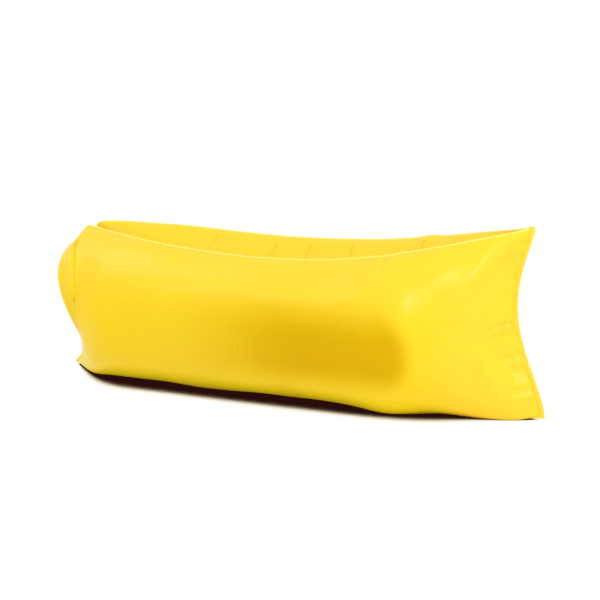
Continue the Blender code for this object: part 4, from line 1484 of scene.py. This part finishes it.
@dataclass
class Seams:
    """The bound seams along the ridges and the keel, and the flat hem at the foot, with their stitches.

    Attributes:
        half_width: half the width of a binding.
        half_height: half its height.
        hem_width: how far the foot hem stands out.
        hem_half: half its thickness.
        stitch_off: how far beside the ridge the stitches run.
    """

    form: LoungerForm
    finishes: Finishes
    tubes: AirTubes
    half_width: float = 0.0042
    half_height: float = 0.0034
    hem_width: float = 0.0113
    hem_half: float = 0.0026
    stitch_off: float = 0.0052

    SIDES = 14
    RIBS_PER_STATION = 40
    HEM_RIBS = 180
    HEM_WAYS = (0.004, 0.996)
    END_SHARE = 0.15
    # How far from the roll and from the foot the bindings end, in stations
    BEAD_ENDS = (0.2, 0.15)
    # Waves that sewing leaves, each with its length, where it starts, and its share or height
    BEAD_WAVES = ((0.039, 0.0, 0.07), (0.0171, 1.0, 0.05))
    HEM_WAVES = ((0.052, 0.0, 0.0007), (0.029, 2.0, 0.0004))
    HEM_SIDE_WAVES = ((0.021, 0.0, 0.08),)
    # The hem's section: how far out, and half its thickness, and the rows of its stitches
    HEM_SHARES = ((-0.35, 0.80), (0.0, 1.0), (0.45, 0.94), (0.85, 1.0), (0.97, 0.75), (1.0, 0.30))
    HEM_ROW_SHARES = (0.22, 0.62)

    def bead(self, guide: str, tube: Tube, cad_node: str) -> None:
        """A folded binding along a guide line, a little uneven as sewing leaves it.

        Args:
            guide: the guide line.
            tube: the tube whose line it is.
            cad_node: the CAD node that it stands for.
        """
        last = self.form.last_place
        from_roll, from_foot = self.BEAD_ENDS
        places = np.linspace(from_roll, last - from_foot, last * self.RIBS_PER_STATION + 1)
        line = smooth(self.form.guides[guide], places) * np.array((1.0, -tube.value, 1.0))
        if guide == "ridge":
            line[:, 2] += self.form.ridge_lift(line[:, 0], tube)
        along = unit(np.gradient(line, axis=0))
        up = unit(np.cross(np.cross(along, (0.0, 0.0, 1.0)), along))
        across = unit(np.cross(along, up))
        runs = run_lengths(line, 0)
        angles = 2 * math.pi * np.arange(self.SIDES) / self.SIDES
        ends = np.minimum(1, np.sqrt(np.minimum(runs, runs[-1] - runs) / self.half_width) + self.END_SHARE)
        size = (waves(runs, self.BEAD_WAVES, base=1) * ends)[:, None, None]
        ring = across[:, None] * (np.cos(angles) * self.half_width)[:, None]
        ring = ring + up[:, None] * (np.sin(angles) * self.half_height)[:, None]
        points = line[:, None] + ring * size
        points[..., 2] = np.maximum(points[..., 2], 0)
        faces = rod_faces(len(line), self.SIDES)
        obj = mesh_object(f"{cad_node}_binding", points, faces, self.finishes.binding, closed=True)
        map_cloth(obj, table_of(runs, angles * self.half_width))
        settle(obj, cad_node)
        LOG.info("%s: %.3f m", obj.name, runs[-1])

    def stitch_rows(self, tube: Tube) -> list:
        """The rows of stitches beside the ridge seam of one tube.

        Args:
            tube: the tube.

        Returns:
            Each row's line with its normals.
        """
        rows = []
        keep = slice(6, -6)
        for panel in Panel:
            points, outward, cloth = self.tubes.grid(tube, panel)
            column = (cloth[..., 1] > self.stitch_off).argmax(axis=1)
            ribs = np.arange(len(points))
            rows.append((points[ribs, column][keep], outward[ribs, column][keep]))
        return rows

    def build_hem(self) -> None:
        """The flat hem that all layers end in, along the last rib."""
        place = np.array((float(self.form.last_place),))
        ways = np.linspace(*self.HEM_WAYS, self.HEM_RIBS)[None]
        rib = self.form.skin(place, ways, Panel.OUTER)[0] * np.array((1.0, 0.0, 1.0))
        down = unit(np.gradient(rib, axis=0))
        out = np.stack([-down[:, 2], np.zeros(len(rib)), down[:, 0]], axis=1)
        runs = run_lengths(rib, 0)
        shift = waves(runs, self.HEM_WAVES)
        loop = [*self.HEM_SHARES, *((depth, -half) for depth, half in reversed(self.HEM_SHARES))]
        columns = []
        for depth, half in loop:
            points = rib + out * (depth * self.hem_width)
            side = half * self.hem_half * waves(runs, self.HEM_SIDE_WAVES, base=1)
            points[:, 1] += side + shift * max(depth, 0)
            columns.append(points)
        points = np.stack(columns, axis=1)
        points[..., 2] = np.maximum(points[..., 2], 0)
        obj = mesh_object("foot_hem", points, rod_faces(len(rib), len(loop)), self.finishes.hem, closed=True)
        map_cloth(obj, table_of(runs, np.array([depth * self.hem_width for depth, _ in loop])))
        settle(obj, "foot_end_seam")
        rows = []
        for side in (-1, 1):
            for depth in self.HEM_ROW_SHARES:
                half = np.interp(depth, *zip(*self.HEM_SHARES))
                line = rib + out * (depth * self.hem_width)
                line[:, 1] = side * half * self.hem_half + shift * depth
                rows.append((line, np.broadcast_to((0.0, float(side), 0.0), line.shape)))
        settle(Stitching().build("foot_hem_stitches", rows, self.finishes.thread))
        LOG.info("foot_hem: %.3f m", runs[-1])

    def build(self) -> None:
        """Every seam."""
        for tube in Tube:
            self.bead("ridge", tube, f"{tube.title}_ridge_seam")
            name = f"{tube.title}_ridge_stitches"
            settle(Stitching().build(name, self.stitch_rows(tube), self.finishes.thread))
        self.bead("keel", Tube.FRONT, "keel_seam")
        self.build_hem()


@dataclass
class MouthRoll:
    """The rolled-up mouth of both tubes, wound flat round two stiffener strips and bent to a C.

    Attributes:
        flat_steps: how many points each flat part of the winding has.
        arc_steps: how many steps each half turn has.
        sections: how many sections the roll has.
        tip_share: how far it goes past both ends of the C.
    """

    form: LoungerForm
    finishes: Finishes
    flat_steps: int = 7
    arc_steps: int = 10
    sections: int = 150
    tip_share: float = 0.05

    # The cloth's ripples: their lengths along the roll, their turns for each metre wound, and their share
    RIPPLE_LENGTHS = (0.021, 0.0127)
    RIPPLE_TURNS = (90, 60)
    RIPPLE_SHARE = 0.012

    def section(self) -> tuple[Array, Array, Array]:
        """The wound sheet's section.

        Returns:
            The loop's places across and outward, how far each lies along the sheet and how far from the core.
        """
        form = self.form
        radius = form.ROLL_CORE + form.ROLL_SHEET / 2
        flats = 2 * form.ROLL_TURNS + 1
        turns = []
        for number in range(flats):
            side = (-1 if number % 2 == 0 else 1) * form.ROLL_FLAT
            for share in np.linspace(-1, 1, self.flat_steps):
                turns.append((share * side, 1 / 4 + number / 2, radius + form.ROLL_PITCH * number / 2))
            for step in range(1, self.arc_steps if number + 1 < flats else 0):
                part = number / 2 + step / (2 * self.arc_steps)
                turns.append((side, 1 / 4 + part, radius + form.ROLL_PITCH * part))
        across, turned, distance = np.array(turns).T
        angle = 2 * math.pi * turned
        inner, outer = (
            np.stack([across + reach * np.cos(angle), reach * np.sin(angle)], axis=1)
            for reach in (distance - form.ROLL_SHEET / 2, distance + form.ROLL_SHEET / 2)
        )
        run = run_lengths(outer, 0)
        there_and_back = np.concatenate([distance, distance[::-1]])
        return np.vstack([inner, outer[::-1]]), np.concatenate([run, run[::-1]]), there_and_back

    def build(self) -> None:
        """The roll."""
        form = self.form
        loop, run, distance = self.section()
        ways = np.linspace(-self.tip_share, 1 + self.tip_share, self.sections)
        lines = form.roll_line(ways)
        normals = unit(form.roll_line(ways, form.ROLL_CORE) - lines)
        along = run_lengths(lines, 0)
        outermost = soft_step(distance, distance.max() - form.ROLL_PITCH, distance.max())
        (long, short), (many, few) = self.RIPPLE_LENGTHS, self.RIPPLE_TURNS
        ripple = wave(along, long)[:, None] * np.sin(run * many + 1)[None]
        ripple = ripple + 0.6 * wave(along, short, 1.0)[:, None] * np.cos(run * few)[None]
        grown = 1 + self.RIPPLE_SHARE * ripple * outermost
        outward = loop[None, :, 1] * (1 + 4 * (grown - 1))
        points = lines[:, None] + normals[:, None] * outward[..., None]
        points[..., 1] += loop[None, :, 0] * grown
        count = len(loop)
        faces = grid_faces(len(ways), count, flipped=True, closed=True)
        last = (len(ways) - 1) * count
        for near, far in zip(flat_cap(count, 0), flat_cap(count, last)):
            faces += [near[::-1], far]
        obj = mesh_object("mouth_roll_cloth", points, faces, self.finishes.nylon, closed=True)
        map_cloth(obj, table_of(along, run))
        settle(obj, "mouth_roll")


@dataclass
class Straps:
    """The two webbing straps between the roll's tips and the buckle.

    Attributes:
        thickness: the webbing's thickness.
        half_width: half its width.
        bend: the radius of the bend that takes a strap off the roll.
        past_tip: how far past the roll's tip that bend starts.
        returned: how long the end that comes back is.
        bar_radius: the radius of the buckle's bars.
        legs_meet: how far from its bar a strap lies on itself.
        socket_bar: where the socket's bar lies along the chord.
        plug_bar: where the plug's bar lies.
        tip_share: how far the roll goes past both ends of the C.
    """

    form: LoungerForm
    finishes: Finishes
    thickness: float = 0.0016
    half_width: float = 0.0125
    bend: float = 0.009
    past_tip: float = 0.004
    returned: float = 0.035
    bar_radius: float = 0.0022
    legs_meet: float = 0.0145
    socket_bar: float = 0.0405
    plug_bar: float = -0.0145
    tip_share: float = 0.05

    # Half the webbing's section: across and up
    EDGE_SHARES = (
        (-1.0, -0.35), (-0.985, -0.8), (-0.95, -1.0), (-0.5, -0.93), (0.0, -0.90), (0.5, -0.93), (0.95, -1.0),
        (0.985, -0.8), (1.0, -0.35),
    )
    # How many points the parts of a strap's line have, and where on the C each strap's stitched end starts
    ROLL_STEPS = 16
    BEND_STEPS = 13
    LEG_STEPS = 26
    LOOP_STEPS = 17
    UPPER_START = 0.08
    LOWER_START = 0.95
    # The box of stitches: its half length and reach as shares, and its stitches
    TACK_LENGTH_SHARE = 0.3
    TACK_REACH_SHARE = 0.78
    TACK_STEPS = 12
    TACK_STITCHES = Stitching(length=0.0022, gap=0.0006, radius=0.00028)

    def __post_init__(self) -> None:
        """Work out the buckle's frame in the middle of the chord."""
        form = self.form
        self.strap_off = -(form.roll_outside - form.ROLL_PITCH / 2 + form.clear + self.thickness / 2)
        upper = self.bend_centre(-self.tip_share, 1)
        lower = self.bend_centre(1 + self.tip_share, -1)
        self.up = unit(upper - lower)
        self.out = np.array((-self.up[2], 0.0, self.up[0]))
        self.leg = self.thickness / 2 + form.clear / 2
        self.origin = (upper + lower) / 2 + self.out * (self.bend - self.leg)

    def roll_point(self, way: float, outward: float = 0.0) -> Array:
        """A point on the roll's C or outside its middle line."""
        return self.form.roll_line(np.array((way,)), outward)[0]

    def bend_start(self, way: float, side: int) -> Array:
        """The point past a tip of the roll where a strap begins to bend off it.

        Args:
            way: where on the C the tip lies.
            side: 1 for the upper tip, -1 for the lower.

        Returns:
            The point.
        """
        across = self.roll_point(way, self.form.ROLL_CORE) - self.roll_point(way)
        direction = unit(np.array((across[2], 0.0, -across[0])))
        return self.roll_point(way, self.strap_off) - side * direction * self.past_tip

    def bend_centre(self, way: float, side: int) -> Array:
        """The centre of the bend that takes a strap off a tip of the roll."""
        inward = self.roll_point(way) - self.roll_point(way, self.form.ROLL_CORE)
        return self.bend_start(way, side) + unit(inward) * self.bend

    def placed(self, along: float, out: float) -> Array:
        """A point of the buckle's middle plane."""
        return self.origin + self.up * along + self.out * out

    def path(self, ways: Array, side: int, bar: float) -> Array:
        """The middle line of a strap from its stitched end on the roll, round its bar and back on itself.

        Args:
            ways: where it lies on the roll.
            side: 1 for the upper strap, -1 for the lower.
            bar: where its bar lies in the buckle's frame.

        Returns:
            The points of the line.
        """
        path = [self.roll_point(way, self.strap_off) for way in ways]
        centre = self.bend_centre(ways[-1], side)
        start = self.bend_start(ways[-1], side) - centre
        end = self.out * self.bend
        opening = math.acos(float(np.dot(start, end)) / self.bend**2)
        for share in np.linspace(0, 1, self.BEND_STEPS):
            mixed = start * math.sin((1 - share) * opening) + end * math.sin(share * opening)
            path.append(centre + mixed / math.sin(opening))
        loop = self.bar_radius + self.form.clear + self.thickness / 2
        meet = self.placed(bar + side * self.legs_meet, self.leg)
        bent = path[-1]
        for share in np.linspace(0, 1, self.LEG_STEPS)[1:]:
            path.append(bent + (meet - bent) * share)
        for angle in np.linspace(0, math.pi, self.LOOP_STEPS):
            path.append(self.placed(bar - side * loop * math.sin(angle), loop * math.cos(angle)))
        for back in (0.0, self.returned / 2, self.returned):
            path.append(self.placed(bar + side * (self.legs_meet + back), -self.leg))
        return np.array(path)

    def build_strap(self, cad_node: str, path: Array) -> Piece:
        """One strap as a woven band with firm edges.

        Args:
            cad_node: the CAD node that it stands for.
            path: its middle line.

        Returns:
            The new piece.
        """
        along = unit(np.gradient(path, axis=0))
        normal = np.stack([-along[:, 2], np.zeros(len(path)), along[:, 0]], axis=1)
        lower = [(across * self.half_width, up * self.thickness / 2) for across, up in self.EDGE_SHARES]
        loop = np.array(lower + [(across, -up) for across, up in reversed(lower)])
        points = path[:, None] + normal[:, None] * loop[None, :, 1:2]
        points[..., 1] += loop[:, 0]
        faces = rod_faces(len(path), len(loop))
        obj = mesh_object(f"{cad_node}_webbing", points, faces, self.finishes.webbing, closed=True)
        runs = run_lengths(path, 0)
        map_cloth(obj, table_of(runs, loop[:, 0]))
        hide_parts(cad_node)
        LOG.info("%s: %.3f m long", obj.name, runs[-1])
        return obj

    def tacking(self, name: str, middle: float) -> Piece:
        """The box of stitches that closes a strap's loop, with a cross in it.

        Args:
            name: the piece's name.
            middle: where its middle lies along the chord.

        Returns:
            The new piece.
        """
        half = self.returned * self.TACK_LENGTH_SHARE
        reach = self.half_width * self.TACK_REACH_SHARE
        out = self.thickness + self.form.clear / 2
        corners = [(-half, -reach), (half, -reach), (half, reach), (-half, reach)]
        runs = [*zip(corners, corners[1:] + corners[:1]), (corners[0], corners[2]), (corners[1], corners[3])]
        shares = np.linspace(0, 1, self.TACK_STEPS)[:, None]
        rows = []
        for face in (-1, 1):
            for start, end in runs:
                flat = np.array(start) * (1 - shares) + np.array(end) * shares
                line = self.origin + self.up * (middle + flat[:, :1]) + self.out * face * out
                line[:, 1] = flat[:, 1]
                rows.append((line, np.broadcast_to(self.out * face, line.shape)))
        obj = self.TACK_STITCHES.build(name, rows, self.finishes.strap_thread)
        return obj

    def build(self) -> None:
        """Both straps with their tacking."""
        low_tip = 1 + self.tip_share
        upper_ways = np.linspace(self.UPPER_START, -self.tip_share, self.ROLL_STEPS)
        lower_ways = np.linspace(self.LOWER_START, low_tip, self.ROLL_STEPS)
        upper = self.build_strap("upper_strap", self.path(upper_ways, 1, self.socket_bar))
        lower = self.build_strap("lower_strap", self.path(lower_ways, -1, self.plug_bar))
        off_bar = self.legs_meet + self.returned / 2
        for piece in (upper, self.tacking("upper_strap_tacking", self.socket_bar + off_bar)):
            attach(piece, "lounger_body")
        start = tuple(self.bend_centre(low_tip, -1))
        for piece in (lower, self.tacking("lower_strap_tacking", self.plug_bar - off_bar)):
            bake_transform(piece)


@dataclass
class Studio:
    """A pale floor, soft lamps and the camera at the photograph's angle.

    Attributes:
        target: the point that the camera and the lamps face.
        azimuth: the camera's turn to the right, in degrees.
        elevation: its height, in degrees.
        distance: how far from the target it stands.
        lens: its focal length, and sensor its sensor's width, both in millimetres.
        floor_size: the floor's side.
        floor_drop: how far under the lounger it lies.
        shade_reach: how far from what stands on it the floor darkens.
        surround: how much light comes from all round.
    """

    target: Place = (0.0222, 0.0, 0.349)
    azimuth: float = 23.56
    elevation: float = 13.0
    distance: float = 5.828
    lens: float = 94.4
    sensor: float = 36.0
    floor_size: float = 30.0
    floor_drop: float = 0.0005
    shade_reach: float = 0.13
    surround: float = 0.67

    WHITE = (1.0, 1.0, 1.0)
    FLOOR = (0.92, 0.91, 0.90)
    # The shadow's colour under the lounger and at its edge
    UNDER = (0.022, 0.004, 0.003)
    FRINGE = (0.92, 0.78, 0.50)
    # The lamps: each one's name, place, size and power
    LAMPS = (
        ("right_lamp", (3.0, -0.6, 3.2), 1.5, 50.0),
        ("left_lamp", (-3.0, -0.8, 3.2), 2.4, 40.0),
        ("front_lamp", (-1.5, -2.8, 2.5), 1.6, 12.0),
        ("low_lamp", (2.85, -2.30, 1.20), 0.9, 20.0),
    )

    @staticmethod
    def stand(obj: Piece, place: Vector, back: Vector) -> None:
        """Put a camera or lamp in its place, with its back turned to a direction.

        Args:
            obj: the camera or lamp.
            place: its place.
            back: the direction of its back.
        """
        obj.location = place
        obj.rotation_mode = "QUATERNION"
        obj.rotation_quaternion = back.to_track_quat("Z", "Y")
        bpy.context.scene.collection.objects.link(obj)

    def build_camera(self) -> None:
        """The camera."""
        data = bpy.data.cameras.new("camera")
        data.lens = self.lens
        data.sensor_width = self.sensor
        camera = bpy.data.objects.new("camera", data)
        turn, rise = math.radians(self.azimuth), math.radians(self.elevation)
        back = Vector((math.sin(turn) * math.cos(rise), -math.cos(turn) * math.cos(rise), math.sin(rise)))
        self.stand(camera, Vector(self.target) + back * self.distance, back)
        bpy.context.scene.camera = camera

    def build_lamps(self) -> None:
        """The square soft lamps that face the lounger."""
        for name, place, size, power in self.LAMPS:
            data = bpy.data.lights.new(name, "AREA")
            data.energy = power
            data.size = size
            self.stand(bpy.data.objects.new(name, data), Vector(place), Vector(place) - Vector(self.target))

    def build_world(self) -> None:
        """An even white surround."""
        world = bpy.data.worlds.new("surround")
        bpy.context.scene.world = world
        world.use_nodes = True
        graph = Graph(world.node_tree)
        strength = graph.remap(self.seen_directly(graph), 0.0, 1.0, self.surround, 1.0)
        graph.put_all(world.node_tree.nodes["Background"].inputs, Color=self.WHITE, Strength=strength)

    @staticmethod
    def seen_directly(graph: Graph) -> Socket:
        """One for rays from the camera, from gloss and through glass, else zero.

        Args:
            graph: the material's or the world's graph.

        Returns:
            The value.
        """
        path = graph.add("LightPath").outputs
        gloss = graph.most(path["Is Glossy Ray"], path["Is Transmission Ray"])
        return graph.most(path["Is Camera Ray"], gloss)

    def build_floor(self) -> None:
        """A white floor with a deep shadow where the lounger stands on it."""
        half = self.floor_size / 2
        points = np.array([(-half, -half, 0.0), (half, -half, 0.0), (half, half, 0.0), (-half, half, 0.0)])
        material = bpy.data.materials.new("pale_floor")
        material.use_nodes = True
        graph = Graph(material.node_tree)
        nodes = material.node_tree.nodes
        nodes.remove(nodes["Principled BSDF"])
        open_share = graph.add("AmbientOcclusion", samples=24, in_Distance=self.shade_reach).outputs["AO"]
        fringe = graph.mix(graph.remap(open_share, 0.28, 0.44), self.UNDER, self.FRINGE)
        colour = graph.mix(graph.remap(open_share, 0.40, 0.50), fringe, self.WHITE)
        glow = graph.add("Emission", in_Color=colour).outputs[0]
        matt = graph.add("BsdfDiffuse", in_Color=self.FLOOR).outputs[0]
        chosen = graph.add("MixShader", in_0=self.seen_directly(graph), in_1=matt, in_2=glow).outputs[0]
        graph.put(nodes["Material Output"].inputs["Surface"], chosen)
        floor = mesh_object("floor", points, [[0, 1, 2, 3]], material)
        floor.location = (0.0, 0.0, -self.floor_drop)
        floor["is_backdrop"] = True

    def build(self) -> None:
        """Everything round the lounger."""
        self.build_camera()
        self.build_world()
        self.build_floor()
        self.build_lamps()
        bpy.context.scene.view_settings.view_transform = "Standard"


def dress_hard_pieces(nodes: dict, finishes: Finishes) -> None:
    """Give the buckle and the stiffener strips, which keep their CAD shapes, their finishes.

    Args:
        nodes: the CAD model's objects by their names.
        finishes: the finishes.
    """
    for name, obj in nodes.items():
        if name.startswith("buckle_"):
            chosen = finishes.buckle
        elif name.endswith("stiffener_strip"):
            chosen = finishes.strip
        else:
            continue
        for slot in obj.material_slots:
            slot.material = chosen
        LOG.info("%s keeps its CAD shape", name)


def main() -> None:
    """Build the lounger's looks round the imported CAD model."""
    logging.basicConfig(level=logging.INFO, format="%(name)s: %(message)s")
    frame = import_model()
    low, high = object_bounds()
    size = high - low
    form = LoungerForm(size.x, size.y, size.z)
    finishes = Finishes()
    Studio().build()
    tubes = AirTubes(form, finishes)
    tubes.build()
    Seams(form, finishes, tubes).build()
    MouthRoll(form, finishes).build()
    Straps(form, finishes).build()
    dress_hard_pieces(frame["nodes"], finishes)


if __name__ == "__main__":
    main()
